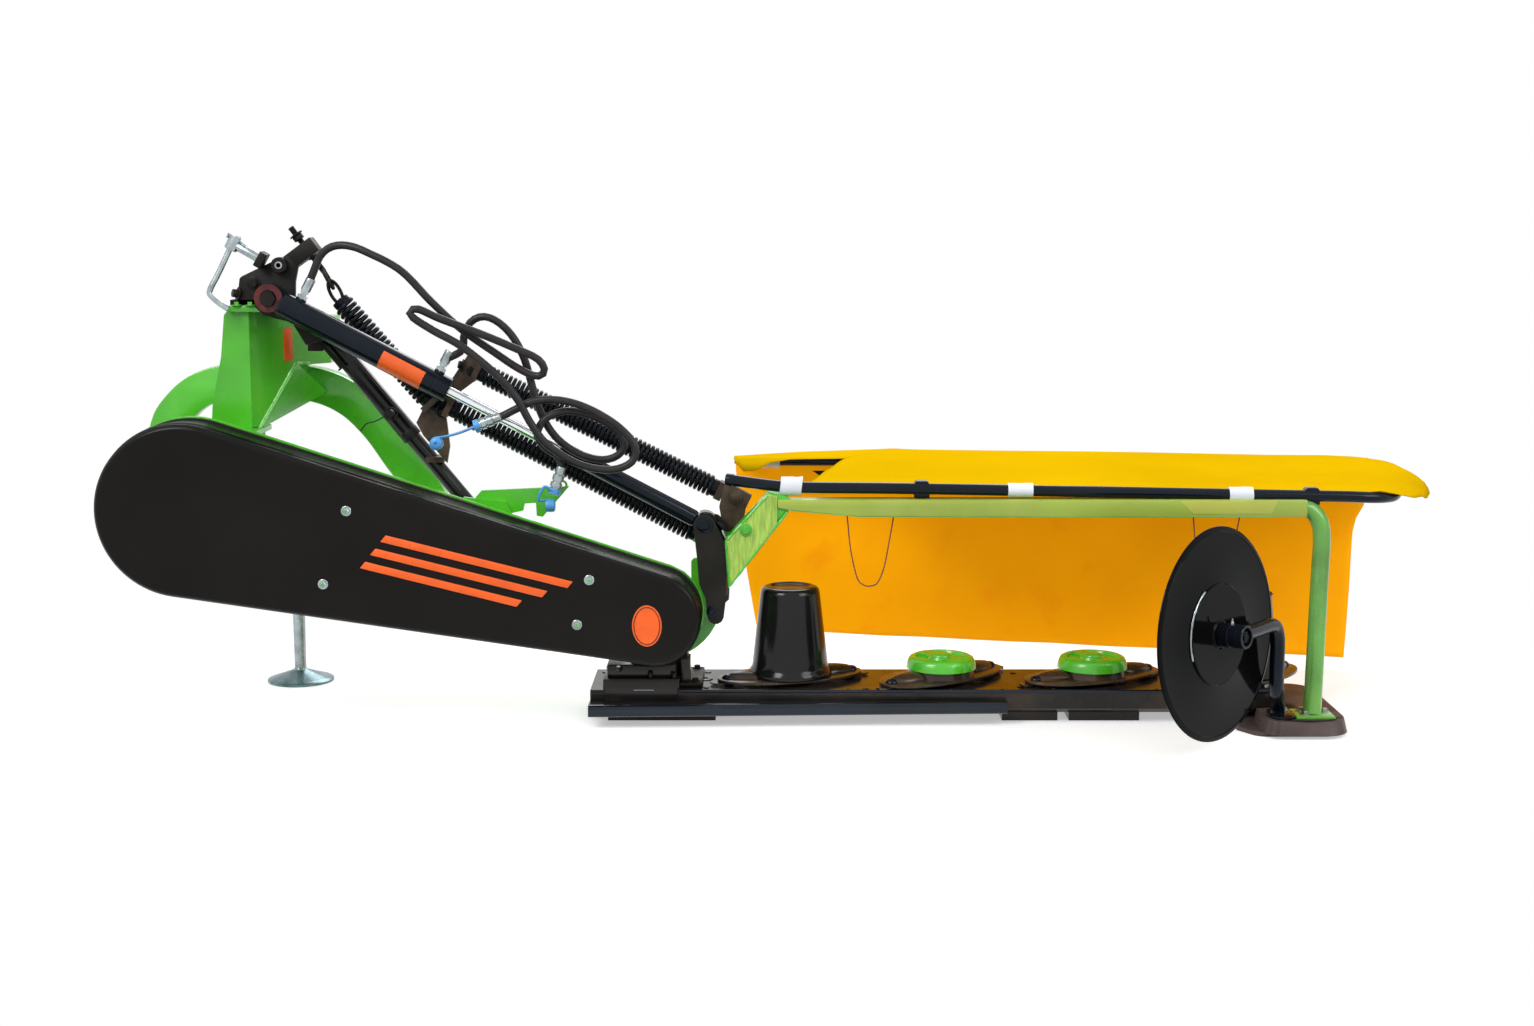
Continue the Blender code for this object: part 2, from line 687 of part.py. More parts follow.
def swing_bracket():
    """The black bracket that turns on the kingpin's head end and carries the cylinder."""
    x, y = KINGPIN_XY
    low = TOWER_Z[1] + GAP
    body = box((x - 0.034, 0.10), (CHEEK_Y[0], y + 0.034), (low, low + SWING_PLATE_T))
    top = ADJUSTER_TOP[1]
    cheek = [(-0.078, low), (-0.072, 1.175), (-0.03, 1.215), (0.045, top - 0.067),
             (0.070, top - 0.027), (0.105, top - 0.012), (0.150, top - 0.050),
             (0.126, top - 0.102), (0.125, 1.12), (0.165, 1.06), (0.175, 1.015),
             (0.120, 1.000), (0.085, 1.060), (0.010, 1.080), (-0.02, low)]
    join(body, plate(cheek, "Y", *CHEEK_Y))
    block = along(ADJUSTER_TOP, Vector(ADJUSTER_TOP) + Vector(ADJUSTER_DIRECTION), 0.062)
    join(body, slanted_box(at_y(block, -0.311), ADJUSTER_DIRECTION, (0.045, 0.056, 0.060)))
    pin_mid = Vector(TOP_PIN_START) + Vector(TOP_PIN_DIRECTION) * 0.075
    join(body, slanted_box(at_y(pin_mid, -0.366), TOP_PIN_DIRECTION, (0.022, 0.048, 0.044)))
    strut_seat = box((0.120, 0.172), (CHEEK_Y[0] + 0.004, STRUT_Y + 0.03), (1.018, 1.034))
    join(body, strut_seat)
    cut(body, rod((x, y, low - 0.02), (x, y, low + 0.05), KINGPIN_R + GAP, 20))
    near = CYLINDER_Y - CYLINDER_HALF - 0.002
    join(body, rod(at_y(LIFT_TOP, near), at_y(LIFT_TOP, CHEEK_Y[1] - 0.004), LIFT_PIN_R, 16))
    join(body, rod(at_y(LIFT_TOP, near - 0.008), at_y(LIFT_TOP, near), 0.021, 6))
    rod_end = Vector(ADJUSTER_TOP) + Vector(ADJUSTER_DIRECTION) * 0.13
    cut(body, rod(at_y(ADJUSTER_TOP, SPRING_Y), at_y(rod_end, SPRING_Y), 0.008 + GAP, 12))
    pin_end = Vector(TOP_PIN_START) + Vector(TOP_PIN_DIRECTION) * 0.13
    cut(body, rod(at_y(TOP_PIN_START, TOP_PIN_Y), at_y(pin_end, TOP_PIN_Y),
                  TOP_PIN_R + GAP, 16))
    finish(body, "swing_bracket", "black_paint", "swing_pivot")


def main_beam():
    """The channel beam behind the belt cover, with both bearing rings and its lugs."""
    lean = math.atan2(HINGE_Z - PULLEY_Z, HINGE_X - PULLEY_X)
    along_beam = Vector((math.cos(lean), 0, math.sin(lean)))
    middle = Vector(((PULLEY_X + HINGE_X) / 2, 0, (PULLEY_Z + HINGE_Z) / 2))
    length = math.hypot(HINGE_X - PULLEY_X, HINGE_Z - PULLEY_Z)
    y = (BEAM_FRONT_Y, BEAM_BACK_Y)
    middle.y = sum(y) / 2
    direction = (along_beam.x, along_beam.z)
    body = slanted_box(middle, direction, (length, BEAM_DEPTH, BEAM_HEIGHT))
    pocket = middle + Vector((0, BEAM_WALL, 0))
    hollow = (length - sum(BEAM_END_R) - 0.02, BEAM_DEPTH, BEAM_HEIGHT - 2 * BEAM_WALL)
    cut(body, slanted_box(pocket, direction, hollow))
    join(body, rod((PULLEY_X, y[0], PULLEY_Z), (PULLEY_X, y[1] + 0.05, PULLEY_Z),
                   BEAM_END_R[0], 20))
    join(body, rod((HINGE_X, y[0], HINGE_Z), (HINGE_X, y[1], HINGE_Z), BEAM_END_R[1], 24))
    x, king_y = KINGPIN_XY
    top = TOWER_Z[0] - GAP
    join(body, box((x - 0.05, x + 0.05), (y[0] + 0.004, y[1]), (PULLEY_Z - 0.03, top)))
    join(body, box((x - 0.038, x + 0.038), (y[0] + 0.02, king_y + 0.038),
                   (top - SWING_PLATE_T, top)))
    ramp = [(y[1] - 0.004, top - SWING_PLATE_T - 0.10), (y[1] - 0.004, top - 0.004),
            (king_y - 0.045, top - 0.004), (king_y - 0.045, top - SWING_PLATE_T)]
    join(body, plate(ramp, "X", x - 0.008, x + 0.008))
    lug = [(0.500, 0.43), (0.535, 0.588), (0.549, 0.602), (0.660, 0.590), (0.676, 0.560),
           (0.700, 0.42)]
    join(body, plate(lug, "Y", BEAM_BACK_Y - 0.014, BEAM_BACK_Y - 0.002))
    seat = [(BEAM_BACK_Y - 0.004, 0.48), (BEAM_BACK_Y - 0.004, 0.515),
            (STRUT_Y + 0.030, 0.515), (STRUT_Y + 0.030, 0.503)]
    join(body, plate(seat, "X", 0.530, 0.600))
    bore_y = (y[0] - 0.01, y[1] + 0.06)
    cut(body, rod((PULLEY_X, bore_y[0], PULLEY_Z), (PULLEY_X, bore_y[1], PULLEY_Z),
                  DRIVE_SHAFT_R + GAP, 20))
    cut(body, rod((HINGE_X, bore_y[0], HINGE_Z), (HINGE_X, bore_y[1], HINGE_Z),
                  HINGE_SLEEVE_R + GAP, 28))
    cut(body, rod((x, king_y, top - 0.04), (x, king_y, top + 0.02), KINGPIN_R + GAP, 20))
    hook_bolt = (HOOK_PIVOT[0], BEAM_BACK_Y - 0.03, HOOK_PIVOT[1])
    cut(body, rod(hook_bolt, (HOOK_PIVOT[0], BEAM_BACK_Y + 0.02, HOOK_PIVOT[1]),
                  HOOK_BOLT_R + PLAY, 12))
    finish(body, "main_beam", "green_paint", "swing_pivot")


def transport_hook():
    """The hook that holds the raised bar, on a bolt through the beam's lug."""
    outline = [(0.579, 0.600), (0.595, 0.618), (0.829, 0.629), (0.799, 0.594), (0.772, 0.564),
               (0.758, 0.547), (0.742, 0.550), (0.740, 0.585), (0.710, 0.583), (0.706, 0.564),
               (0.669, 0.556), (0.620, 0.550), (0.590, 0.560)]
    y = BEAM_BACK_Y - 0.002 + GAP
    body = plate(outline, "Y", y, y + 0.010)
    cut(body, rod((0.789, y - 0.01, 0.612), (0.789, y + 0.02, 0.612), 0.006, 12))
    x, z = HOOK_PIVOT
    join(body, rod((x, BEAM_BACK_Y - 0.018, z), (x, y + 0.004, z), HOOK_BOLT_R, 12))
    finish(body, "transport_hook", "green_paint", "hook_pivot")


def strut():
    """The telescoping diagonal strut: an outer tube with its cross pin, and an inner tube."""
    top = at_y(STRUT_TOP, STRUT_Y)
    step = at_y(STRUT_STEP, STRUT_Y)
    direction = (step - top).normalized()
    foot = top + direction * (at_y(STRUT_FOOT, STRUT_Y) - top).dot(direction)
    outer = rod(top, step, STRUT_OUTER_R, 16)
    cut(outer, rod(top + direction * 0.02, step + direction * 0.05, STRUT_INNER_R + GAP, 16))
    pin_at = step - direction * 0.065
    near = pin_at - Vector((0, STRUT_OUTER_R + 0.012, 0))
    far = pin_at + Vector((0, STRUT_OUTER_R + 0.012, 0))
    join(outer, rod(near, far, STRUT_PIN_R, 12))
    join(outer, rod(near - Vector((0, 0.006, 0)), near, 0.012, 12))
    above = box((0.05, 0.25), (STRUT_Y - 0.05, STRUT_Y + 0.05), (1.018 - GAP, 1.12))
    cut(outer, above)
    finish(outer, "strut_outer_tube", "black_paint", "swing_pivot")
    inner = rod(top + direction * 0.05, foot, STRUT_INNER_R, 16)
    cut(inner, rod(pin_at - Vector((0, 0.05, 0)), pin_at + Vector((0, 0.05, 0)),
                   STRUT_PIN_R + GAP, 12))
    cut(inner, box((0.4, 0.7), (STRUT_Y - 0.05, STRUT_Y + 0.05), (0.44, 0.515 + GAP)))
    finish(inner, "strut_inner_tube", "black_paint", "swing_pivot")


def spring_lug(point, towards, y, size=SPRING_LUG):
    """A block whose flat end faces a spring, GAP away from the spring's wire."""
    direction = (Vector(towards) - Vector(point)).normalized()
    centre = Vector(point) - direction * (size[0] / 2 + GAP)
    return slanted_box(at_y(centre, y), direction, (size[0], size[1], size[1]))


def spring_anchor():
    """The tall brown plate on the strut that all three springs end on."""
    y = (STRUT_Y - STRUT_OUTER_R - 0.004, STRUT_Y - STRUT_OUTER_R + 0.008)
    outline = [(0.402, 0.785), (0.420, 0.750), (0.484, 0.674), (0.492, 0.720), (0.484, 0.798),
               (0.511, 0.852), (0.522, 0.868), (0.563, 0.898), (0.589, 0.948), (0.578, 0.966),
               (0.545, 0.968), (0.500, 0.902), (0.467, 0.864), (0.423, 0.826)]
    body = plate(outline, "Y", *y)
    for spring in (UPPER_SPRING, LOWER_SPRING):
        join(body, spring_lug(spring[0], spring[1], SPRING_Y))
    join(body, spring_lug(SHORT_SPRING[1], SHORT_SPRING[0], SPRING_Y))
    seat = Vector((0.445, 0.0, 0.720))
    cut(body, rod(at_y(STRUT_TOP, STRUT_Y), at_y(STRUT_FOOT, STRUT_Y),
                  STRUT_OUTER_R + GAP, 16))
    clamp = box((seat.x - 0.02, seat.x + 0.03), (y[0] + 0.002, STRUT_Y + 0.034),
                (seat.z - 0.045, seat.z - 0.030))
    join(body, clamp)
    cut(body, rod(at_y(STRUT_STEP, STRUT_Y), at_y(STRUT_FOOT, STRUT_Y),
                  STRUT_INNER_R + GAP, 16))
    finish(body, "spring_anchor", "brown_plate", "swing_pivot")


def spring_adjuster():
    """The threaded rod and nuts that hold the short spring's top end."""
    start = Vector(ADJUSTER_TOP)
    direction = Vector(ADJUSTER_DIRECTION).normalized()
    y = SPRING_Y
    end = start + direction * 0.145
    body = rod(at_y(start, y), at_y(end, y), 0.008, 12)
    block = 0.062
    half = 0.045 / 2 + GAP
    for low, high in ((block - half - 0.014, block - half), (block + half, block + half + 0.014)):
        join(body, rod(at_y(start + direction * low, y), at_y(start + direction * high, y),
                       0.015, 6))
    lug_at = Vector(SHORT_SPRING[0])
    join(body, spring_lug(lug_at, SHORT_SPRING[1], SPRING_Y, (0.020, 0.050)))
    hook = (end + lug_at) / 2 - direction * 0.004
    reach = (lug_at - end).length + 0.004
    join(body, slanted_box(at_y(hook, SPRING_Y), lug_at - end, (reach, 0.030, 0.020)))
    finish(body, "spring_adjuster", "zinc", "swing_pivot")


def coil_points(start, end, curls):
    """The wire's centre line: straight in, round its curls, straight out."""
    start = at_y(start, SPRING_Y)
    end = at_y(end, SPRING_Y)
    axis = (end - start).normalized()
    side = Vector((0, 1, 0))
    up = axis.cross(side)
    straight = 2 * SPRING_WIRE_R
    inset = straight + 2.2 * SPRING_WIRE_R
    run = (end - start).length - 2 * inset
    pitch = run / curls
    clear = pitch - 2 * SPRING_WIRE_R
    points = [start, start + axis * straight]
    for i in range(curls * SPRING_POINTS + 1):
        angle = 2 * math.pi * i / SPRING_POINTS
        around = side * math.cos(angle) + up * math.sin(angle)
        points.append(start + axis * (inset + run * i / (curls * SPRING_POINTS))
                      + around * SPRING_R)
    points.append(end - axis * straight)
    points.append(end)
    return points, clear


def springs():
    """The short spring and both long springs, each one unbroken wire."""
    table = (("short_spring", SHORT_SPRING, SHORT_SPRING_CURLS, "swing_pivot"),
             ("upper_spring", UPPER_SPRING, UPPER_SPRING_CURLS, "upper_spring_pivot"),
             ("lower_spring", LOWER_SPRING, LOWER_SPRING_CURLS, "lower_spring_pivot"))
    for name, (start, end), curls, holder in table:
        points, clear = coil_points(start, end, curls)
        print(f"{name}: {curls} curls, least gap to itself {clear * 1000:.2f} mm")
        finish(tube(points, SPRING_WIRE_R, 1), name, "spring_steel", holder, 60)


def lift_direction():
    """The way from the cylinder's top pin to the lift eye."""
    return (Vector(LIFT_EYE) - Vector(LIFT_TOP)).normalized()


def cylinder():
    """The hydraulic cylinder's barrel with its ports, and its rod with the lift tube."""
    way = lift_direction()
    far = Vector(LIFT_TOP) + way * BARREL_LENGTH
    half = CYLINDER_HALF
    neck = Vector(LIFT_TOP) + way * 0.033
    barrel = rod(at_y(neck, CYLINDER_Y), at_y(far, CYLINDER_Y), BARREL_R, 16)
    join(barrel, rod(at_y(LIFT_TOP, CYLINDER_Y - half), at_y(LIFT_TOP, CYLINDER_Y + half),
                     BARREL_R + 0.004, 16))
    above = Vector((-way[1], way[0]))
    for place in PORTS:
        foot = Vector(LIFT_TOP) + way * place
        join(barrel, rod(at_y(foot, CYLINDER_Y), at_y(foot + above * PORT_RISE, CYLINDER_Y),
                         PORT_R, 10))
    inside = Vector(LIFT_TOP) + way * 0.075
    gland = Vector(LIFT_TOP) + way * (BARREL_LENGTH - 0.040)
    cut(barrel, rod(at_y(inside, CYLINDER_Y), at_y(gland, CYLINDER_Y), BARREL_BORE_R, 16))
    cut(barrel, rod(at_y(gland - way * 0.02, CYLINDER_Y), at_y(far + way * 0.02, CYLINDER_Y),
                    ROD_R + GAP, 16))
    cut(barrel, rod(at_y(LIFT_TOP, CYLINDER_Y - 0.05), at_y(LIFT_TOP, CYLINDER_Y + 0.05),
                    LIFT_PIN_R + PLAY, 16))
    finish(barrel, "cylinder_barrel", "black_paint", "cylinder_pivot")
    rod_start = gland - way * ROD_INSIDE
    tube_start = far + way * ROD_SHOWN
    body = rod(at_y(rod_start, CYLINDER_Y), at_y(tube_start + way * 0.01, CYLINDER_Y), ROD_R, 16)
    join(body, rod(at_y(rod_start, CYLINDER_Y), at_y(rod_start + way * 0.03, CYLINDER_Y),
                   BARREL_BORE_R - GAP, 16))
    join(body, rod(at_y(tube_start, CYLINDER_Y), at_y(LIFT_EYE, CYLINDER_Y), LIFT_TUBE_R, 16))
    join(body, rod(at_y(LIFT_EYE, CYLINDER_Y - LIFT_TUBE_R), at_y(LIFT_EYE, CYLINDER_Y + LIFT_TUBE_R),
                   LIFT_EYE_R, 16))
    cut(body, rod(at_y(LIFT_EYE, CYLINDER_Y - 0.05), at_y(LIFT_EYE, CYLINDER_Y + 0.05),
                  LIFT_PIN_R + GAP, 16))
    finish(body, "lift_rod", "black_paint", "rod_pivot")


def lift_link():
    """The upright link that the lift eye pulls, two cheeks on a solid foot."""
    top = LIFT_EYE
    outline = (arc(top, LIFT_EYE_R, 15, 185, 8)
               + [(1.170, 0.425), (1.175, 0.360), (1.192, 0.320)]
               + arc((1.219, 0.272), 0.022, 190, 350, 5)
               + [(1.246, 0.310), (1.255, 0.318), (1.256, 0.355), (1.254, 0.415), (1.242, 0.480)])
    low, high = LINK_Y
    body = plate(outline, "Y", low, high)
    tail = [(1.195, 0.548), (1.225, 0.541), (1.254, 0.518), (1.254, 0.503), (1.232, 0.488),
            (1.200, 0.500)]
    join(body, plate(tail, "Y", high - LINK_CHEEK_T, high))
    cut(body, box((1.10, 1.30), (CYLINDER_Y - LINK_GAP, CYLINDER_Y + LINK_GAP), (0.34, 0.60)))
    for z_place, radius in ((top, 0.015), (LINK_FOOT, 0.011)):
        join(body, rod(at_y(z_place, low - 0.003), at_y(z_place, low + 0.002), radius, 6))
    finish(body, "lift_link", "black_paint", "lift_pivot")


def gearbox():
    """The bevel gearbox on the bar's inner end, with the sleeve that it hinges on."""
    body = box(GEARBOX_X, GEARBOX_Y, GEARBOX_Z)
    flange = (GEARBOX_Z[0], GEARBOX_Z[0] + 0.012)
    join(body, box((0.925, 1.185), (BAR_Y - 0.095, BAR_Y + 0.105), flange))
    wall = GEARBOX_WALL
    inside = box((GEARBOX_X[0] + wall, GEARBOX_X[1] - wall),
                 (GEARBOX_Y[0] + wall, GEARBOX_Y[1] - wall), (0.05, GEARBOX_Z[1] - wall))
    cut(body, inside)
    sleeve_start = BACK_FRONT_Y - 0.004
    join(body, rod((HINGE_X, sleeve_start, HINGE_Z), (HINGE_X, GEARBOX_Y[0] + wall, HINGE_Z),
                   HINGE_SLEEVE_R, 24))
    cut(body, rod((HINGE_X, sleeve_start - 0.02, HINGE_Z), (HINGE_X, GEARBOX_Y[0] + 0.02, HINGE_Z),
                  DRIVEN_SHAFT_R + GAP, 18))
    finish(body, "gearbox_housing", "black_paint", "lift_pivot")


def hinge_plate():
    """The green plate outboard of the gearbox that the link, arm and springs bolt to."""
    left = GEARBOX_X[1] + GAP
    sweep = math.degrees(math.acos((left + 0.0005 - HINGE_X) / HINGE_PLATE_R))
    outline = ([(1.172, 0.420), (1.172, 0.485), (1.215, 0.497), (1.262, 0.490), (1.292, 0.505),
                (1.292, 0.425), (1.262, 0.385), (1.240, 0.340)]
               + arc((HINGE_X, HINGE_Z), HINGE_PLATE_R, 0, -sweep, 7)
               + [(left, 0.345), (left + 0.008, 0.350), (left + 0.008, 0.412), (1.158, 0.420)])
    body = plate(outline, "Y", *HINGE_PLATE_Y)
    join(body, spring_lug(LOWER_SPRING[1], LOWER_SPRING[0], SPRING_Y, (0.016, 0.044)))
    join(body, box((1.176, 1.20), (HINGE_PLATE_Y[0] + 0.002, SPRING_Y + 0.015), (0.462, 0.482)))
    finish(body, "hinge_plate", "green_paint", "lift_pivot")


def pulley(place, radius, name, shaft_r, shaft_back, holder, crown=False):
    """A flat-grooved pulley on its shaft, which runs forward along +Y."""
    half = PULLEY_WIDTH / 2
    back = shaft_back - PULLEY_MID_Y
    rim = radius - 0.016
    profile = [(0.0, back), (shaft_r, back), (shaft_r, half), (radius + PULLEY_FLANGE, half),
               (radius + PULLEY_FLANGE, half - 0.006), (radius, half - 0.006),
               (radius, 0.006 - half), (radius + PULLEY_FLANGE, 0.006 - half),
               (radius + PULLEY_FLANGE, -half), (rim, -half), (rim, half - 0.012),
               (shaft_r + 0.014, half - 0.012), (shaft_r + 0.014, -half), (0.0, -half)]
    body = turned(profile, (place[0], PULLEY_MID_Y, place[1]), (0, 1, 0), 18)
    if crown:
        face = Vector((place[0], shaft_back, place[1]))
        add_crown(body, face, (0, 1, 0), INPUT_CROWN_TEETH, (0, 0, -1))
    finish(body, name, "gear_steel", holder)


def belt_drive():
    """Backplate with its pillars, cover shell, belt, and both pulleys."""
    back = (BACK_FRONT_Y + GAP, BACK_FRONT_Y + GAP + BACKPLATE_T)
    sheet = plate(teardrop(0.004), "Y", *back)
    pillar_end = COVER_FACE_Y + COVER_WALL + GAP
    for x, z in COVER_SCREWS:
        join(sheet, rod((x, back[0] + 0.004, z), (x, pillar_end, z), COVER_PILLAR_R, 8))
    cut(sheet, rod((PULLEY_X, back[0] - 0.02, PULLEY_Z), (PULLEY_X, back[1] + 0.02, PULLEY_Z),
                   DRIVE_SHAFT_R + 0.02, 16))
    cut(sheet, rod((HINGE_X, back[0] - 0.02, HINGE_Z), (HINGE_X, back[1] + 0.02, HINGE_Z),
                   HINGE_SLEEVE_R + 0.002, 16))
    finish(sheet, "belt_backplate", "green_paint", "swing_pivot")
    shell = plate(teardrop(), "Y", COVER_FACE_Y, BACK_FRONT_Y)
    cut(shell, plate(teardrop(-COVER_WALL), "Y", COVER_FACE_Y + COVER_WALL, BACK_FRONT_Y + 0.02))
    finish(shell, "belt_cover", "black_paint", "swing_pivot")
    half = BELT_WIDTH / 2
    inner = (PULLEY_R + GAP, SMALL_PULLEY_R + GAP)
    outer = (inner[0] + BELT_THICKNESS, inner[1] + BELT_THICKNESS)
    loop = plate(two_circles(*outer, 20, 12), "Y", PULLEY_MID_Y - half, PULLEY_MID_Y + half)
    cut(loop, plate(two_circles(*inner, 20, 14), "Y", PULLEY_MID_Y - half - 0.01,
                    PULLEY_MID_Y + half + 0.01))
    finish(loop, "drive_belt", "belt_rubber", "swing_pivot")
    pulley((PULLEY_X, PULLEY_Z), PULLEY_R - 0.001, "drive_pulley", DRIVE_SHAFT_R,
           DRIVE_SHAFT_FRONT_Y, "pulley_pivot")
    crown_face = BAR_Y - PINION_R - TOOTH_RISE - 0.0005
    pulley((HINGE_X, HINGE_Z), SMALL_PULLEY_R - 0.001, "driven_pulley", DRIVEN_SHAFT_R,
           crown_face, "lift_pivot", crown=True)


def upright_shaft():
    """The gearbox's upright shaft: a pinion at the top, a crown wheel at the bottom."""
    pinion_z = HINGE_Z - crown_radius(INPUT_CROWN_TEETH)
    crown_z = BAR_SHAFT_Z + PINION_R + TOOTH_RISE + 0.0005
    body = rod((HINGE_X, BAR_Y, crown_z + 0.002), (HINGE_X, BAR_Y, pinion_z + 0.012),
               UPRIGHT_SHAFT_R, 12)
    add_pinion(body, (HINGE_X, BAR_Y), "Z", pinion_z)
    add_crown(body, (HINGE_X, BAR_Y, crown_z), (0, 0, -1), LOWER_CROWN_TEETH, (1, 0, 0))
    finish(body, "upright_shaft", "gear_steel", "lift_pivot")


def disc_x(number):
    """Where a disc stands along the bar, counted from 0 at the inner end."""
    return FIRST_DISC_X + DISC_PITCH * number


def pinion_side(number):
    """Each disc's pinion sits on the other side from its neighbour's, so they turn apart."""
    return 1 if number % 2 == 0 else -1


def bar_shaft():
    """The long shaft inside the cutter bar, with a pinion for each crown wheel."""
    start = HINGE_X - 0.02
    end = disc_x(3) + 0.030
    origin = Vector((0, BAR_Y, BAR_SHAFT_Z))
    body = rod(origin + Vector((start, 0, 0)), origin + Vector((end, 0, 0)), BAR_SHAFT_R, 12)
    places = [HINGE_X + crown_radius(LOWER_CROWN_TEETH)]
    for number in range(4):
        places.append(disc_x(number) + pinion_side(number) * crown_radius(DISC_CROWN_TEETH))
    for place in places:
        add_pinion(body, (BAR_Y, BAR_SHAFT_Z), "X", place)
    finish(body, "bar_shaft", "gear_steel", "bar_shaft_pivot")


def bar():
    """The cutter bar's trough, its bolted lid and the rail along its rear edge."""
    near = BAR_Y - BAR_WIDTH / 2
    far = BAR_Y + BAR_WIDTH / 2
    section = [(near, 0.040), (near + 0.02, 0.026), (near + 0.075, 0.0120), (far - 0.06, 0.0120),
               (far - 0.012, 0.030), (far, 0.045), (far, BAR_TOP_Z), (near, BAR_TOP_Z)]
    wall = BAR_WALL
    hollow = [(near + wall, 0.044), (near + 0.024, 0.034), (near + 0.077, 0.0190),
              (far - 0.062, 0.0190), (far - 0.018, 0.036), (far - wall, 0.048),
              (far - wall, BAR_TOP_Z + 0.02), (near + wall, BAR_TOP_Z + 0.02)]
    body = plate(section, "X", *BAR_X)
    cut(body, plate(hollow, "X", BAR_X[0] + wall, BAR_X[1] - wall))
    bearing_r = BAR_SHAFT_R + GAP
    seats = [disc_x(0) - 0.20, disc_x(1) - 0.20, disc_x(2) - 0.20, disc_x(3) - 0.20]
    for seat in seats:
        block = box((seat - 0.008, seat + 0.008), (BAR_Y - 0.024, BAR_Y + 0.024), (0.016, 0.066))
        join(body, block)
        cut(body, rod((seat - 0.02, BAR_Y, BAR_SHAFT_Z), (seat + 0.02, BAR_Y, BAR_SHAFT_Z),
                      bearing_r, 14))
    sole = [(near + 0.030, 0.0), (far - 0.075, 0.0), (far - 0.075, 0.0135),
            (near + 0.077, 0.0135), (near + 0.030, 0.025)]
    for skid in ((0.93, 1.22), (1.99, 2.14), (2.17, 2.36)):
        join(body, plate(sole, "X", *skid))
    finish(body, "bar_housing", "black_paint", "lift_pivot")
    lid = box((BAR_X[0], BAR_X[1]), (near, far), (BAR_TOP_Z + GAP, LID_TOP_Z))
    for number in range(4):
        x = disc_x(number)
        cut(lid, rod((x, BAR_Y, 0.05), (x, BAR_Y, 0.12), SPINDLE_R + GAP, 16))
    cut(lid, rod((HINGE_X, BAR_Y, 0.05), (HINGE_X, BAR_Y, 0.12), UPRIGHT_SHAFT_R + GAP, 16))
    finish(lid, "bar_lid", "black_paint", "lift_pivot")
    outline = [(BAR_X[0], near - GAP), (BAR_X[0], near - 0.075), (1.998, near - 0.035),
               (1.998, near - GAP)]
    finish(plate(outline, "Z", 0.032, 0.066), "rear_rail", "black_paint", "lift_pivot")


def ellipse(centre, angle, long_r, short_r, steps):
    """An oval outline, turned by an angle in degrees."""
    turn = math.radians(angle)
    points = []
    for i in range(steps):
        t = 2 * math.pi * i / steps
        x = long_r * math.cos(t)
        y = short_r * math.sin(t)
        points.append((centre[0] + x * math.cos(turn) - y * math.sin(turn),
                       centre[1] + x * math.sin(turn) + y * math.cos(turn)))
    return points


def knife_place(number, end):
    """A knife's pivot, at one end of its disc."""
    angle = math.radians(DISC_ANGLES[number] + 180 * end)
    return (disc_x(number) + KNIFE_PIVOT_R * math.cos(angle),
            BAR_Y + KNIFE_PIVOT_R * math.sin(angle))


def disc(number):
    """An oval disc with its hub, spindle, crown wheel and two knife bolts."""
    x = disc_x(number)
    angle = DISC_ANGLES[number]
    top = DISC_Z + DISC_PLATE_T
    body = plate(ellipse((x, BAR_Y), angle, DISC_LONG_R, DISC_SHORT_R, 24), "Z", DISC_Z, top)
    crown_z = BAR_SHAFT_Z + PINION_R + TOOTH_RISE + 0.0005
    join(body, rod((x, BAR_Y, crown_z + 0.002), (x, BAR_Y, top - 0.002), SPINDLE_R, 14))
    join(body, rod((x, BAR_Y, LID_TOP_Z + 0.0012), (x, BAR_Y, DISC_Z + 0.002), 0.040, 12))
    towards = (pinion_side(number), 0, 0)
    add_crown(body, (x, BAR_Y, crown_z), (0, 0, -1), DISC_CROWN_TEETH, towards)
    for end in (0, 1):
        px, py = knife_place(number, end)
        shank_z = DISC_Z - KNIFE_T - 2 * GAP
        join(body, rod((px, py, shank_z - 0.001), (px, py, DISC_Z + 0.002), KNIFE_PIN_R, 8))
        join(body, rod((px, py, shank_z - KNIFE_HEAD_T), (px, py, shank_z), KNIFE_HEAD_R, 8))
    finish(body, f"disc_{number + 1}", "brown_plate", f"disc_{number + 1}_pivot")


def knife(number, end):
    """A free-swinging knife under one end of a disc."""
    px, py = knife_place(number, end)
    angle = DISC_ANGLES[number] + 180 * end
    turn = math.radians(angle)
    half = KNIFE_WIDTH / 2
    local = [(-KNIFE_TAIL, -half * 0.8), (KNIFE_REACH - 0.012, -half), (KNIFE_REACH, -half * 0.4),
             (KNIFE_REACH, half * 0.4), (KNIFE_REACH - 0.012, half), (-KNIFE_TAIL, half * 0.8)]
    outline = [(px + a * math.cos(turn) - b * math.sin(turn),
                py + a * math.sin(turn) + b * math.cos(turn)) for a, b in local]
    z = DISC_Z - GAP - KNIFE_T
    body = plate(outline, "Z", z, z + KNIFE_T)
    cut(body, rod((px, py, z - 0.01), (px, py, z + 0.02), KNIFE_PIN_R + PLAY, 10))
    name = f"knife_{number + 1}{'ab'[end]}"
    finish(body, name, "gear_steel", f"{name}_pivot")


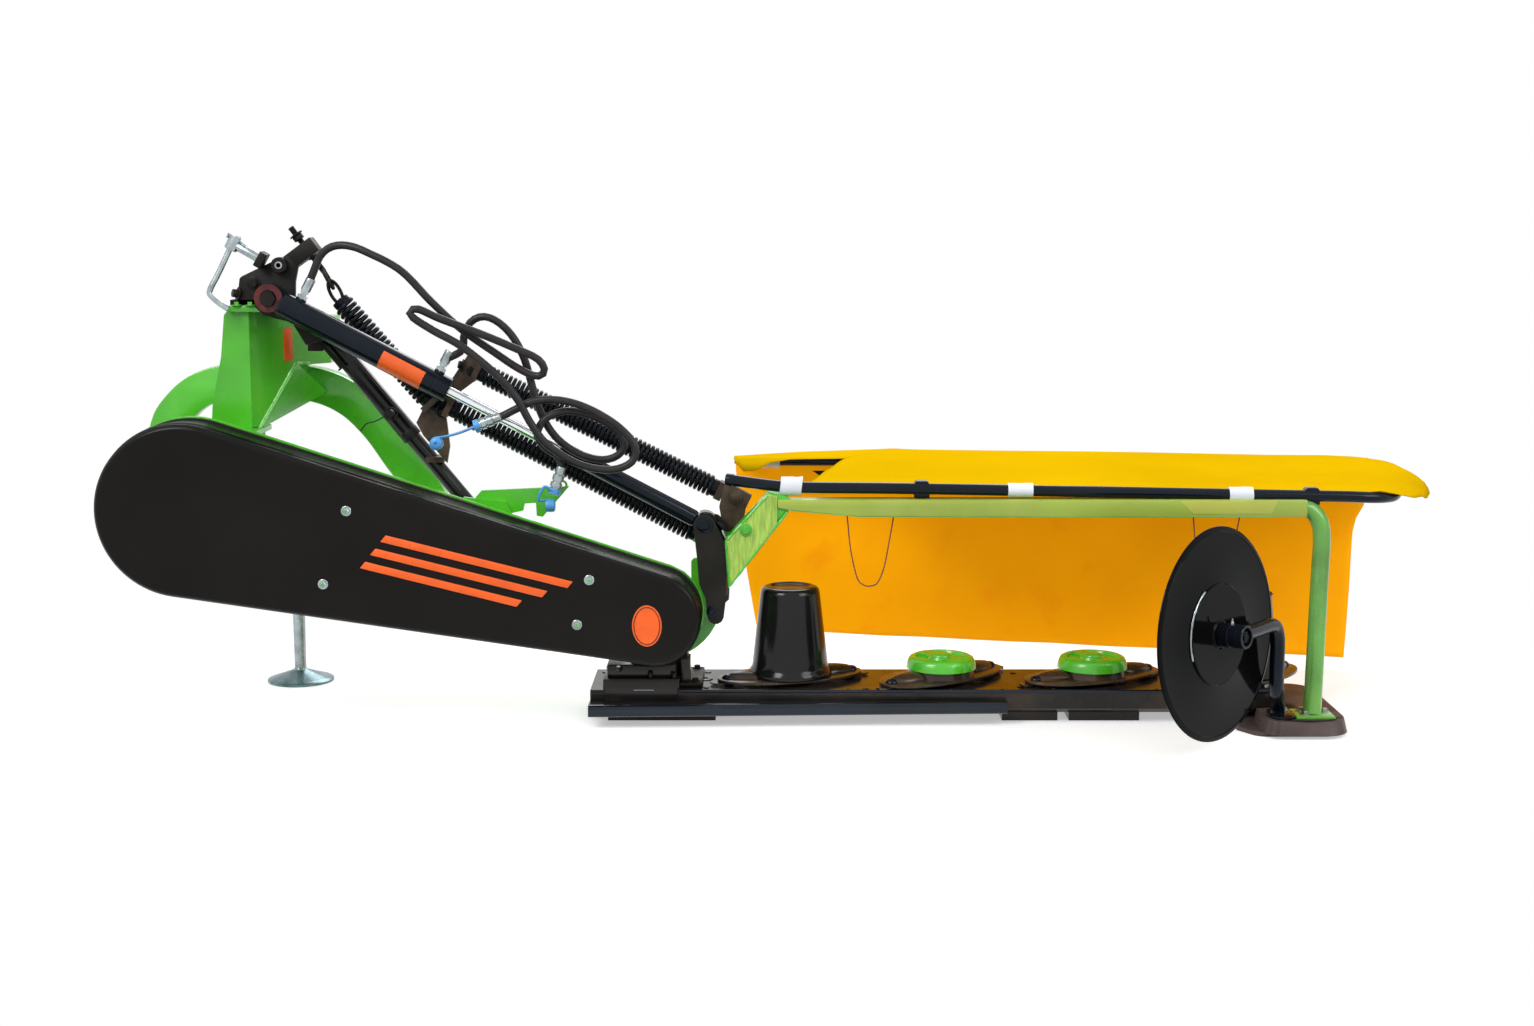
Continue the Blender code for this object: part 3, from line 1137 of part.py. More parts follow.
def cone(number, top_r, foot_r, top_z):
    """A hollow cone on a disc, with a dished top and a flared foot."""
    seat = DISC_Z + DISC_PLATE_T + GAP
    foot_z = seat + 0.020
    profile = [(0.0, top_z - 0.012), (top_r - 0.014, top_z - 0.012), (top_r - 0.008, top_z),
               (top_r, top_z), (foot_r, foot_z), (foot_r + 0.010, foot_z - 0.006),
               (foot_r + 0.010, seat), (foot_r - SHEET, seat), (foot_r - SHEET, foot_z),
               (top_r - 2.5 * SHEET, top_z - 0.02), (0.0, top_z - 0.02)]
    body = turned(profile, (disc_x(number), BAR_Y, 0), (0, 0, 1), CONE_STEPS)
    finish(body, f"disc_{number + 1}_cone", "black_paint", f"disc_{number + 1}_pivot")


def cap(number):
    """A low green cap on a disc."""
    seat = DISC_Z + DISC_PLATE_T + GAP
    profile = [(0.0, CAP_TOP_Z + 0.006), (0.026, CAP_TOP_Z + 0.006), (0.028, CAP_TOP_Z),
               (CAP_R - 0.014, CAP_TOP_Z), (CAP_R - 0.004, CAP_TOP_Z - 0.010),
               (CAP_R, seat), (CAP_R - 2 * SHEET, seat), (CAP_R - 3 * SHEET, CAP_TOP_Z - 0.014),
               (0.0, CAP_TOP_Z - 0.014)]
    body = turned(profile, (disc_x(number), BAR_Y, 0), (0, 0, 1), CONE_STEPS)
    finish(body, f"disc_{number + 1}_cap", "green_paint", f"disc_{number + 1}_pivot")


def shoe_crown():
    """The shoe's raised part, drawn in towards its top, that clears the bar's end."""
    left, right = SHOE_CROWN_X
    near, far = SHOE_CROWN_Y
    inner = BAR_X[1] + 0.006
    outline = ([(left, near + 0.160)] + arc((left + 0.05, near + 0.05), 0.05, 180, 250, 3)
               + arc((right - 0.07, near + 0.07), 0.07, 280, 360, 4)
               + arc((right - 0.078, far - 0.075), 0.075, 0, 90, 4)
               + [(inner, far), (inner, near + 0.170)])
    crown = plate(outline, "Z", SHOE_T - 0.002, SHOE_PAD_Z)
    middle = Vector(((left + right) / 2 + 0.02, (near + far) / 2))
    for vertex in crown.data.vertices:
        if vertex.co.z > SHOE_T:
            vertex.co.xy = middle + (vertex.co.xy - middle) * SHOE_CROWN_SHARE
    return crown


def shoe():
    """The outer runner, whose raised part the leg and swath arm bolt to."""
    left, right = SHOE_X
    near, far = SHOE_Y
    outline = ([(left, near + 0.07)] + arc((left + 0.07, near + 0.05), 0.05, 200, 260, 3)
               + arc((right - 0.06, near + 0.06), 0.06, -80, 0, 4)
               + arc((right - 0.09, far - 0.09), 0.09, 0, 90, 4) + [(left, far)])
    body = plate(outline, "Z", 0.0, SHOE_T)
    join(body, shoe_crown())
    finish(body, "outer_shoe", "brown_plate", "lift_pivot")


def swath_wheel():
    """The swath disc with its inner plate, its axle and the nut on the axle's end."""
    normal = Vector(SWATH_NORMAL).normalized()
    centre = Vector(SWATH_CENTRE)
    axle_end = SWATH_HUB_OUT - 0.003
    shoulder = SWATH_HUB_IN - 0.001
    profile = [(0.0, axle_end), (SWATH_AXLE_R, axle_end), (SWATH_AXLE_R, shoulder),
               (SWATH_HUB_R, shoulder), (SWATH_HUB_R + 0.004, 0.010),
               (SWATH_INNER_R - 0.006, 0.010), (SWATH_INNER_R, 0.004), (SWATH_R - 0.01, 0.004),
               (SWATH_R, 0.0), (SWATH_R, -0.004), (0.0, -0.004)]
    body = turned(profile, centre, normal, 24)
    nut_start = centre + normal * (SWATH_HUB_OUT - 0.0155)
    join(body, rod(nut_start, centre + normal * (SWATH_HUB_OUT - 0.005), SWATH_NUT_R, 6))
    finish(body, "swath_disc", "black_paint", "swath_pivot")


def swath_arm():
    """The bent bar on its foot plate, and the hub at its top that the axle turns in."""
    normal = Vector(SWATH_NORMAL).normalized()
    centre = Vector(SWATH_CENTRE)
    bore = SWATH_AXLE_R + PLAY
    recess = SWATH_NUT_R + 0.006
    profile = [(recess, SWATH_HUB_OUT), (SWATH_HUB_R, SWATH_HUB_OUT), (SWATH_HUB_R, SWATH_HUB_IN),
               (bore, SWATH_HUB_IN), (bore, SWATH_HUB_OUT - 0.016),
               (recess, SWATH_HUB_OUT - 0.016)]
    x, y = SWATH_ARM_FOOT
    plate_z = (SHOE_PAD_Z + GAP, SHOE_PAD_Z + GAP + FOOT_PLATE_T)
    post_x, post_y = SWATH_ARM_POST
    grip = centre + normal * (SWATH_HUB_OUT - 0.025)
    out = Vector((post_x - grip.x, post_y - grip.y, 0.0)).normalized()
    post_top = Vector((post_x, post_y, grip.z - 0.062))
    corner = Vector((post_x, post_y, grip.z))
    bend = [post_top, post_top.lerp(corner, 0.55) - out * 0.007,
            corner - out * 0.022 - Vector((0, 0, 0.014)), corner - out * 0.060]
    path = [(x, y, plate_z[0]), (x - 0.002, y - 0.012, plate_z[1] + 0.022),
            (post_x + 0.006, post_y + 0.018, 0.125), (post_x, post_y, 0.175), *bend]
    fine = smooth(path, 2)
    fine.append(grip + out * 0.020)
    arm = join(tube(fine, SWATH_ARM_R, 2), turned(profile, centre, normal, 18))
    join(arm, box((x - 0.020, x + 0.038), (y - 0.050, y + 0.045), plate_z))
    cut(arm, box((x - 0.1, x + 0.1), (y - 0.1, y + 0.1), (0.0, plate_z[0])))
    finish(arm, "swath_arm", "black_paint", "lift_pivot")


def guard_frame():
    """The inclined arm, the beam with its leg and hinge saddles, and the spring bracket."""
    y = (GUARD_TUBE_Y - GUARD_BEAM_DEPTH / 2, LINK_Y[0] - 0.010)
    outline = [(1.249, 0.493), (1.361, 0.618), (GUARD_BEAM_X[0] + 0.028, 0.607),
               (GUARD_BEAM_X[0] + 0.028, 0.570), (1.258, 0.370)]
    arm = plate(outline, "Y", *y)
    arm_beam_gap = box((GUARD_BEAM_X[0] - GAP, 1.6), (y[0] - 0.01, y[1] + 0.01), (0.5, 0.7))
    cut(arm, arm_beam_gap)
    join(arm, box((1.258, 1.288), (y[1] - 0.004, LINK_Y[1]), (0.435, 0.490)))
    finish(arm, "guard_arm", "green_paint", "lift_pivot")
    beam_y = (GUARD_TUBE_Y - GUARD_BEAM_DEPTH / 2, GUARD_TUBE_Y + GUARD_BEAM_DEPTH / 2)
    beam = box(GUARD_BEAM_X, beam_y, GUARD_BEAM_Z)
    middle_z = sum(GUARD_BEAM_Z) / 2
    foot_z = SHOE_PAD_Z + GAP
    path = [(GUARD_BEAM_X[1] - 0.03, GUARD_TUBE_Y, middle_z), (2.800, -0.479, middle_z - 0.004),
            (2.826, -0.484, middle_z - 0.045), (2.828, -0.495, middle_z - 0.110),
            (LEG_FOOT[0], LEG_FOOT[1], foot_z + 0.004)]
    join(beam, tube(path, LEG_R, 3))
    x, foot_y = LEG_FOOT
    join(beam, box((x - 0.050, x + 0.052), (foot_y - 0.040, foot_y + 0.050),
                   (foot_z, foot_z + FOOT_PLATE_T)))
    half = SADDLE_SIZE[0] / 2
    depth = SADDLE_SIZE[1] / 2
    for saddle in GUARD_SADDLES_X:
        join(beam, box((saddle - half, saddle + half), (GUARD_TUBE_Y - depth, GUARD_TUBE_Y + depth),
                       (GUARD_BEAM_Z[1] - 0.004, GUARD_TUBE_Z + 0.004)))
        cut(beam, rod((saddle - 0.05, GUARD_TUBE_Y, GUARD_TUBE_Z),
                      (saddle + 0.05, GUARD_TUBE_Y, GUARD_TUBE_Z), GUARD_TUBE_R + PLAY, 20))
    cut(beam, box((1.5, 3.0), (-0.6, -0.3), (GUARD_TUBE_Z + 0.0005, 0.70)))
    cut(beam, box((1.5, GUARD_BEAM_X[1] + 0.1), (-0.70, -0.3), (-0.02, foot_z)))
    finish(beam, "guard_beam", "green_paint", "lift_pivot")
    bracket_outline = [(1.246, 0.462), (1.238, 0.500), (1.228, 0.560), (1.240, 0.615),
                       (1.262, 0.622), (1.317, 0.590), (1.300, 0.555), (1.286, 0.462)]
    front = HINGE_PLATE_Y[1] + GAP
    bracket = plate(bracket_outline, "Y", front, SPRING_Y - 0.015)
    join(bracket, spring_lug(UPPER_SPRING[1], UPPER_SPRING[0], SPRING_Y, (0.020, 0.050)))
    finish(bracket, "spring_bracket", "brown_plate", "lift_pivot")


def guard_tube():
    """The hinged tube frame that carries the sheet."""
    y = GUARD_TUBE_Y
    z = GUARD_TUBE_Z
    right = GUARD_RIGHT_X
    far = GUARD_FAR_Y
    corner = [(right - 0.20, y, z), (right - 0.095, y + 0.035, z), (right - 0.02, y + 0.135, z),
              (right, y + 0.27, z), (right, y + 0.42, z), (right - 0.03, far - 0.09, z),
              (right - 0.12, far - 0.015, z), (right - 0.24, far, z)]
    near = [Vector((1.252, y + 0.030, z + 0.014)), Vector((1.360, y + 0.012, z + 0.006)),
            Vector((1.450, y, z))]
    points = near + [Vector(p) for p in smooth(corner, 2)] + [Vector((1.292, far, z))]
    body = tube(points, GUARD_TUBE_R, 2)
    finish(body, "guard_tube", "black_paint", "guard_pivot")


def tarp_outline():
    """The sheet's plan, with its notch at the inner end and round outer corners."""
    right = GUARD_RIGHT_X + 0.030
    near = GUARD_TUBE_Y + 0.006
    far = GUARD_FAR_Y + 0.010
    return ([(1.450, near), (right - 0.20, near)]
            + arc((right - 0.20, near + 0.20), 0.20, -70, 0, 4)
            + arc((right - 0.20, far - 0.20), 0.20, 0, 90, 5)
            + [(1.262, far), (1.40, far - 0.08), (1.58, -0.01)])


def guard_cloth():
    """The yellow sheet over the frame, and the curtain that hangs from its far tube."""
    z = GUARD_TUBE_Z + GUARD_TUBE_R + 0.011
    sheet = plate(tarp_outline(), "Z", z - 0.011 + GAP, z - 0.011 + GAP + TARP_T)
    finish(sheet, "guard_sheet", "tarp_yellow", "guard_pivot")
    columns = 4 * CURTAIN_FOLDS
    rows = 2
    bm = bmesh.new()
    bmesh.ops.create_grid(bm, x_segments=columns, y_segments=rows, size=0.5)
    left, right = CURTAIN_X
    top = GUARD_TUBE_Z + 0.006
    front = GUARD_FAR_Y + GUARD_TUBE_R + GAP
    for vert in bm.verts:
        across = vert.co.x + 0.5
        down = 0.5 - vert.co.y
        low = CURTAIN_LOW_Z[0] + (CURTAIN_LOW_Z[1] - CURTAIN_LOW_Z[0]) * across
        wave = 0.5 - 0.5 * math.cos(2 * math.pi * CURTAIN_FOLDS * across)
        vert.co = (left + (right - left) * across,
                   front + CURTAIN_FOLD_DEPTH * wave * down,
                   top + (low - top) * down)
    curtain = from_bmesh(bm)
    solid = curtain.modifiers.new("thickness", "SOLIDIFY")
    solid.thickness = CURTAIN_T
    solid.offset = -1.0 if grid_faces_back(curtain) else 1.0
    finish(curtain, "guard_curtain", "curtain_orange", "curtain_pivot")


def grid_faces_back(obj):
    """Whether a sheet's faces look towards -Y, so that its thickness grows to +Y."""
    return obj.data.polygons[0].normal.y < 0


def top_link_pin():
    """The top-link pin with its bent handle."""
    start = Vector(TOP_PIN_START)
    way = Vector(TOP_PIN_DIRECTION).normalized()
    end = start + way * 0.105
    body = rod(at_y(start, TOP_PIN_Y), at_y(end, TOP_PIN_Y), TOP_PIN_R, 16)
    join(body, rod(at_y(start - way * 0.004, TOP_PIN_Y), at_y(start + way * 0.018, TOP_PIN_Y),
                   0.018, 16))
    handle = [at_y(start + way * 0.006, TOP_PIN_Y), at_y((-0.092, 1.205), TOP_PIN_Y - 0.006),
              at_y((-0.124, 1.148), TOP_PIN_Y - 0.010), at_y((-0.118, 1.132), TOP_PIN_Y - 0.010),
              at_y((-0.080, 1.104), TOP_PIN_Y - 0.008)]
    join(body, tube(handle, 0.006, 1))
    finish(body, "top_link_pin", "zinc", "pin_pivot")


# The hoses' routes, each from its port to its coupler, points chosen by hand
HOSE_ONE = [(0.139, -0.380, 1.222), (0.152, -0.384, 1.246), (0.180, -0.392, 1.262),
            (0.248, -0.402, 1.266), (0.300, -0.409, 1.251), (0.391, -0.417, 1.203),
            (0.470, -0.423, 1.122), (0.548, -0.427, 1.050), (0.640, -0.430, 0.985),
            (0.700, -0.433, 0.945), (0.748, -0.438, 0.925), (0.770, -0.444, 0.940),
            (0.752, -0.450, 0.972), (0.690, -0.456, 1.002), (0.600, -0.460, 1.040),
            (0.500, -0.463, 1.078), (0.440, -0.466, 1.104), (0.424, -0.472, 1.088),
            (0.480, -0.478, 1.050), (0.560, -0.482, 1.005), (0.650, -0.484, 0.930),
            (0.700, -0.484, 0.870), (0.735, -0.482, 0.805), (0.775, -0.480, 0.750),
            (0.840, -0.479, 0.705), (0.900, -0.478, 0.684), (0.960, -0.477, 0.682),
            (1.004, -0.475, 0.705), (1.006, -0.472, 0.748), (0.960, -0.468, 0.798),
            (0.890, -0.464, 0.840), (0.820, -0.460, 0.862), (0.750, -0.458, 0.862),
            (0.700, -0.460, 0.842), (0.660, -0.463, 0.822), (0.634, -0.466, 0.812)]
HOSE_TWO = [(0.536, -0.380, 0.956), (0.545, -0.385, 0.990), (0.552, -0.392, 1.030),
            (0.572, -0.397, 1.066), (0.606, -0.400, 1.080), (0.644, -0.403, 1.066),
            (0.683, -0.406, 1.027), (0.714, -0.409, 0.966), (0.738, -0.412, 0.878),
            (0.762, -0.416, 0.810), (0.800, -0.420, 0.755), (0.856, -0.422, 0.716),
            (0.915, -0.423, 0.700), (0.960, -0.424, 0.712), (0.978, -0.424, 0.745),
            (0.948, -0.425, 0.788), (0.890, -0.428, 0.820), (0.825, -0.435, 0.832),
            (0.770, -0.442, 0.812), (0.748, -0.446, 0.770), (0.770, -0.450, 0.735),
            (0.800, -0.453, 0.716), (0.812, -0.456, 0.690), (0.806, -0.458, 0.664)]


def coupler(tip, towards):
    """A quick coupler, crimped on a hose's end."""
    tip = Vector(tip)
    way = Vector(towards).normalized()
    start = tip - way * 0.006
    body = rod(start, start + way * COUPLER_LENGTH, COUPLER_R, 10)
    return join(body, rod(start + way * 0.014, start + way * 0.034, COUPLER_R + 0.004, 10))


def hoses():
    """Two hydraulic hoses, each a smooth tube through its own points."""
    for route, name, port in ((HOSE_ONE, "hose_1", 0), (HOSE_TWO, "hose_2", 1)):
        way = lift_direction()
        above = Vector((-way[1], way[0]))
        foot = Vector(LIFT_TOP) + way * PORTS[port] + above * (PORT_RISE + GAP)
        start = at_y(foot, CYLINDER_Y)
        second = at_y(foot + above * HOSE_R, CYLINDER_Y)
        fine = smooth([second, *route[1:]], 12)
        points = [start, *evenly(fine, HOSE_STEP)]
        length = sum((b - a).length for a, b in zip(points, points[1:]))
        print(f"{name}: {len(points)} points, length {length:.3f} m")
        body = join(tube(points, HOSE_R, 2), coupler(points[-1], points[-1] - points[-2]))
        finish(body, name, "hose_rubber", "cylinder_pivot", 60)


def pivots():
    """The empties on the joints' axes."""
    pivot("headstock_frame", (0, 0, 0))
    pivot("stand_pivot", (0, 0, 0), "headstock_frame")
    pivot("swing_pivot", (*KINGPIN_XY, TOWER_Z[0]), "headstock_frame")
    pivot("pin_pivot", at_y(TOP_PIN_START, TOP_PIN_Y), "swing_pivot")
    pivot("hook_pivot", (HOOK_PIVOT[0], BEAM_BACK_Y, HOOK_PIVOT[1]), "swing_pivot")
    pivot("cylinder_pivot", at_y(LIFT_TOP, CYLINDER_Y), "swing_pivot")
    pivot("rod_pivot", at_y(LIFT_EYE, CYLINDER_Y), "cylinder_pivot")
    pivot("upper_spring_pivot", at_y(UPPER_SPRING[0], SPRING_Y), "swing_pivot")
    pivot("lower_spring_pivot", at_y(LOWER_SPRING[0], SPRING_Y), "swing_pivot")
    pivot("pulley_pivot", (PULLEY_X, PULLEY_MID_Y, PULLEY_Z), "swing_pivot")
    pivot("lift_pivot", (HINGE_X, BAR_Y, HINGE_Z), "swing_pivot")
    pivot("bar_shaft_pivot", (HINGE_X, BAR_Y, BAR_SHAFT_Z), "lift_pivot")
    for number in range(4):
        disc_name = f"disc_{number + 1}_pivot"
        pivot(disc_name, (disc_x(number), BAR_Y, DISC_Z), "lift_pivot")
        for end in (0, 1):
            place = (*knife_place(number, end), DISC_Z)
            pivot(f"knife_{number + 1}{'ab'[end]}_pivot", place, disc_name)
    pivot("swath_pivot", SWATH_CENTRE, "lift_pivot")
    pivot("guard_pivot", (1.7, GUARD_TUBE_Y, GUARD_TUBE_Z), "lift_pivot")
    pivot("curtain_pivot", (1.7, GUARD_FAR_Y, GUARD_TUBE_Z), "guard_pivot")


def main():
    pivots()
    bow()
    stand()
    tower()
    kingpin()
    swing_bracket()
    main_beam()
    transport_hook()
    strut()
    spring_anchor()
    spring_adjuster()
    springs()
    cylinder()
    lift_link()
    gearbox()
    hinge_plate()
    belt_drive()
    upright_shaft()
    bar_shaft()
    bar()
    for number in range(4):
        disc(number)
        knife(number, 0)
        knife(number, 1)
    cone(0, *INNER_CONE)
    cap(1)
    cap(2)
    cone(3, *OUTER_CONE)
    shoe()
    swath_wheel()
    swath_arm()
    guard_frame()
    guard_tube()
    guard_cloth()
    top_link_pin()
    hoses()


main()
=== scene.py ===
import math

import bmesh
import bpy
from mathutils import Matrix, Vector, noise


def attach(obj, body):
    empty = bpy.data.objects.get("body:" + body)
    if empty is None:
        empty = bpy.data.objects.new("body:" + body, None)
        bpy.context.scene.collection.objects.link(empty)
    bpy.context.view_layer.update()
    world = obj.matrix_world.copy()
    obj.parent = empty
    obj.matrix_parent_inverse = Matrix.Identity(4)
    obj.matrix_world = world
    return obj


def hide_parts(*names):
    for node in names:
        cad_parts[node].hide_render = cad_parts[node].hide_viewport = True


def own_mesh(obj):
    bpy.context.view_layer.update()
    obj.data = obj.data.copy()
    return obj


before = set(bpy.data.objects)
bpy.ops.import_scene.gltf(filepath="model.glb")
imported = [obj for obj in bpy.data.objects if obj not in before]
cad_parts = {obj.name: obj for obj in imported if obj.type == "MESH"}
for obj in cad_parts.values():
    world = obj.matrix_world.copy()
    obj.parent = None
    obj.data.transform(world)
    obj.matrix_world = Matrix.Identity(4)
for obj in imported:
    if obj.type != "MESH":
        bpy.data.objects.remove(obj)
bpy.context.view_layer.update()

# Places, sizes and directions, in metres
HINGE = (1.064, 0.309)
PULLEY = (-0.149, 0.594)
BAR_Y = -0.385
SPRING_Y = -0.295
CYLINDER_Y = -0.38
LIFT_TOP = (0.036, 1.128)
LIFT_EYE = (1.19, 0.52)
DISC_X = (1.421, 1.833, 2.245, 2.657)
DISC_ANGLES = (18.0, 37.0, 24.0, 40.0)
DISC_TOP = 0.1073
DISC_LONG, DISC_SHORT = 0.205, 0.098
LID_TOP = 0.0913
PAD_Z = (0.0453, 0.0533)
TUBE_Y = -0.478
TUBE_Z = 0.626
FAR_Y = 0.15
TOP_PIN_Y = -0.372
CHEEK_FACE = -0.3455
FRONT = (0, -1, 0)
UP = Vector((0, 0, 1))
LIFT_WAY = (Vector(LIFT_EYE) - Vector(LIFT_TOP)).normalized()
LIFT_ABOVE = Vector((-LIFT_WAY[1], LIFT_WAY[0]))


# Materials

def links(tree, *pairs):
    """Join sockets in pairs."""
    for start, end in pairs:
        tree.links.new(start, end)


def node(tree, kind, **values):
    """A new shader node with some of its inputs set."""
    made = tree.nodes.new("ShaderNode" + kind)
    for name, value in values.items():
        made.inputs[name].default_value = value
    return made


def object_place(tree):
    """Coordinates that stay with the object, in metres."""
    return node(tree, "TexCoord").outputs["Object"]


def noise_node(tree, source, scale, detail, stretch=None):
    """Noise over coordinates."""
    if stretch:
        mapping = node(tree, "Mapping", Scale=stretch)
        links(tree, (source, mapping.inputs["Vector"]))
        source = mapping.outputs["Vector"]
    made = node(tree, "TexNoise", Scale=scale, Detail=detail)
    links(tree, (source, made.inputs["Vector"]))
    return made.outputs["Fac"]


def ramp(tree, source, stops):
    """A colour ramp with its stops at places."""
    made = node(tree, "ValToRGB")
    elements = made.color_ramp.elements
    while len(elements) < len(stops):
        elements.new(0.5)
    for element, (place, value) in zip(elements, stops):
        element.position = place
        if isinstance(value, (int, float)):
            value = (value, value, value)
        element.color = (*value, 1.0)
    links(tree, (source, made.inputs["Fac"]))
    return made.outputs["Color"]


def mixed(tree, factor, low, high, kind="RGBA"):
    """Low and high, each a socket or a colour, mixed by a factor."""
    made = node(tree, "Mix")
    made.data_type = kind
    offset = 6 if kind == "RGBA" else 2
    for socket, value in zip((made.inputs[0], *made.inputs[offset:offset + 2]), (factor, low, high)):
        if isinstance(value, bpy.types.NodeSocket):
            links(tree, (value, socket))
        elif isinstance(value, (int, float)):
            socket.default_value = value
        else:
            socket.default_value = (*value, 1.0)
    return made.outputs[2 if kind == "RGBA" else 0]


def roughen(tree, shader, height, strength, distance):
    """Let a height disturb a shader's normal."""
    made = node(tree, "Bump", Strength=strength, Distance=distance)
    links(tree, (height, made.inputs["Height"]), (made.outputs["Normal"], shader.inputs["Normal"]))


def finish(name, colour, rough=0.4, metal=0.0, vary=0.06, scale=14.0, bump=0.02, fine=900.0, wear=None,
        coat=0.0, dirt_and_reflection=None, dirt_and_reflection_at=0.58, stretch=None, rough_vary=0.08, specular=0.5, sheen=0.0,
        painted_reflection_tint=None, painted_glow=0.0):
    """A Principled material whose colour, roughness and bump come from noise."""
    made = bpy.data.materials.new(name)
    made.use_nodes = True
    tree = made.node_tree
    shader = tree.nodes["Principled BSDF"]
    place = object_place(tree)
    broad = noise_node(tree, place, scale, 5.0, stretch)
    dark, light = (tuple(min(1.0, max(0.0, c * (1 + side * 2.2 * vary))) for c in colour)
        for side in (-1, 1))
    base = ramp(tree, broad, ((0.3, dark), (0.7, light)))
    for paint, low, high, most, grain in ((dirt_and_reflection, dirt_and_reflection_at, dirt_and_reflection_at + 0.12, 0.55, (7.0, 9.0)),
            (wear, 0.755, 0.795, 1.0, (60.0, 10.0))):
        if paint:
            spots = noise_node(tree, place, *grain)
            base = mixed(tree, ramp(tree, spots, ((low, 0.0), (high, most))), base, paint)
    polish = noise_node(tree, place, scale * 2.3, 6.0, stretch)
    roughness = ramp(tree, polish, ((0.3, max(0.02, rough - rough_vary)),
        (0.7, min(1.0, rough + rough_vary))))
    links(tree, (base, shader.inputs["Base Color"]), (roughness, shader.inputs["Roughness"]))
    for socket, value in (("Metallic", metal), ("Specular IOR Level", specular), ("Coat Weight", coat),
            ("Coat Roughness", 0.06), ("Sheen Weight", sheen)):
        shader.inputs[socket].default_value = value
    # A bluish specular tint is a painted reflection colour: it makes highlights look as if lit by cool
    # light.
    if painted_reflection_tint:
        shader.inputs["Specular Tint"].default_value = (*painted_reflection_tint, 1.0)
    # An emission of the base colour is painted light: it makes the surface glow though it is no lamp.
    if painted_glow:
        links(tree, (base, shader.inputs["Emission Color"]))
        shader.inputs["Emission Strength"].default_value = painted_glow
    if bump:
        roughen(tree, shader, noise_node(tree, place, fine, 3.0, stretch), bump, 0.001)
    return made


def cloth(name, colour, back, fine=700.0, sheen=0.0, rough=0.42, grime=0.10, specular=0.3, painted_glow=0.0):
    """Coated cloth: a fine weave in bump and a broad change of colour."""
    made = finish(name, colour, rough, vary=grime, scale=2.2, bump=0.0, sheen=sheen, dirt_and_reflection=back,
        dirt_and_reflection_at=0.60, specular=specular, painted_glow=painted_glow)
    tree = made.node_tree
    place = object_place(tree)
    heights = []
    for axis in ("X", "Y"):
        wave = node(tree, "TexWave", Scale=fine / 2, Distortion=0.4)
        wave.bands_direction = axis
        links(tree, (place, wave.inputs["Vector"]))
        heights.append(wave.outputs["Fac"])
    weave = mixed(tree, 0.5, *heights, "FLOAT")
    height = mixed(tree, 0.80, weave, noise_node(tree, place, 9.0, 6.0), "FLOAT")
    roughen(tree, tree.nodes["Principled BSDF"], height, 0.18, 0.004)
    return made
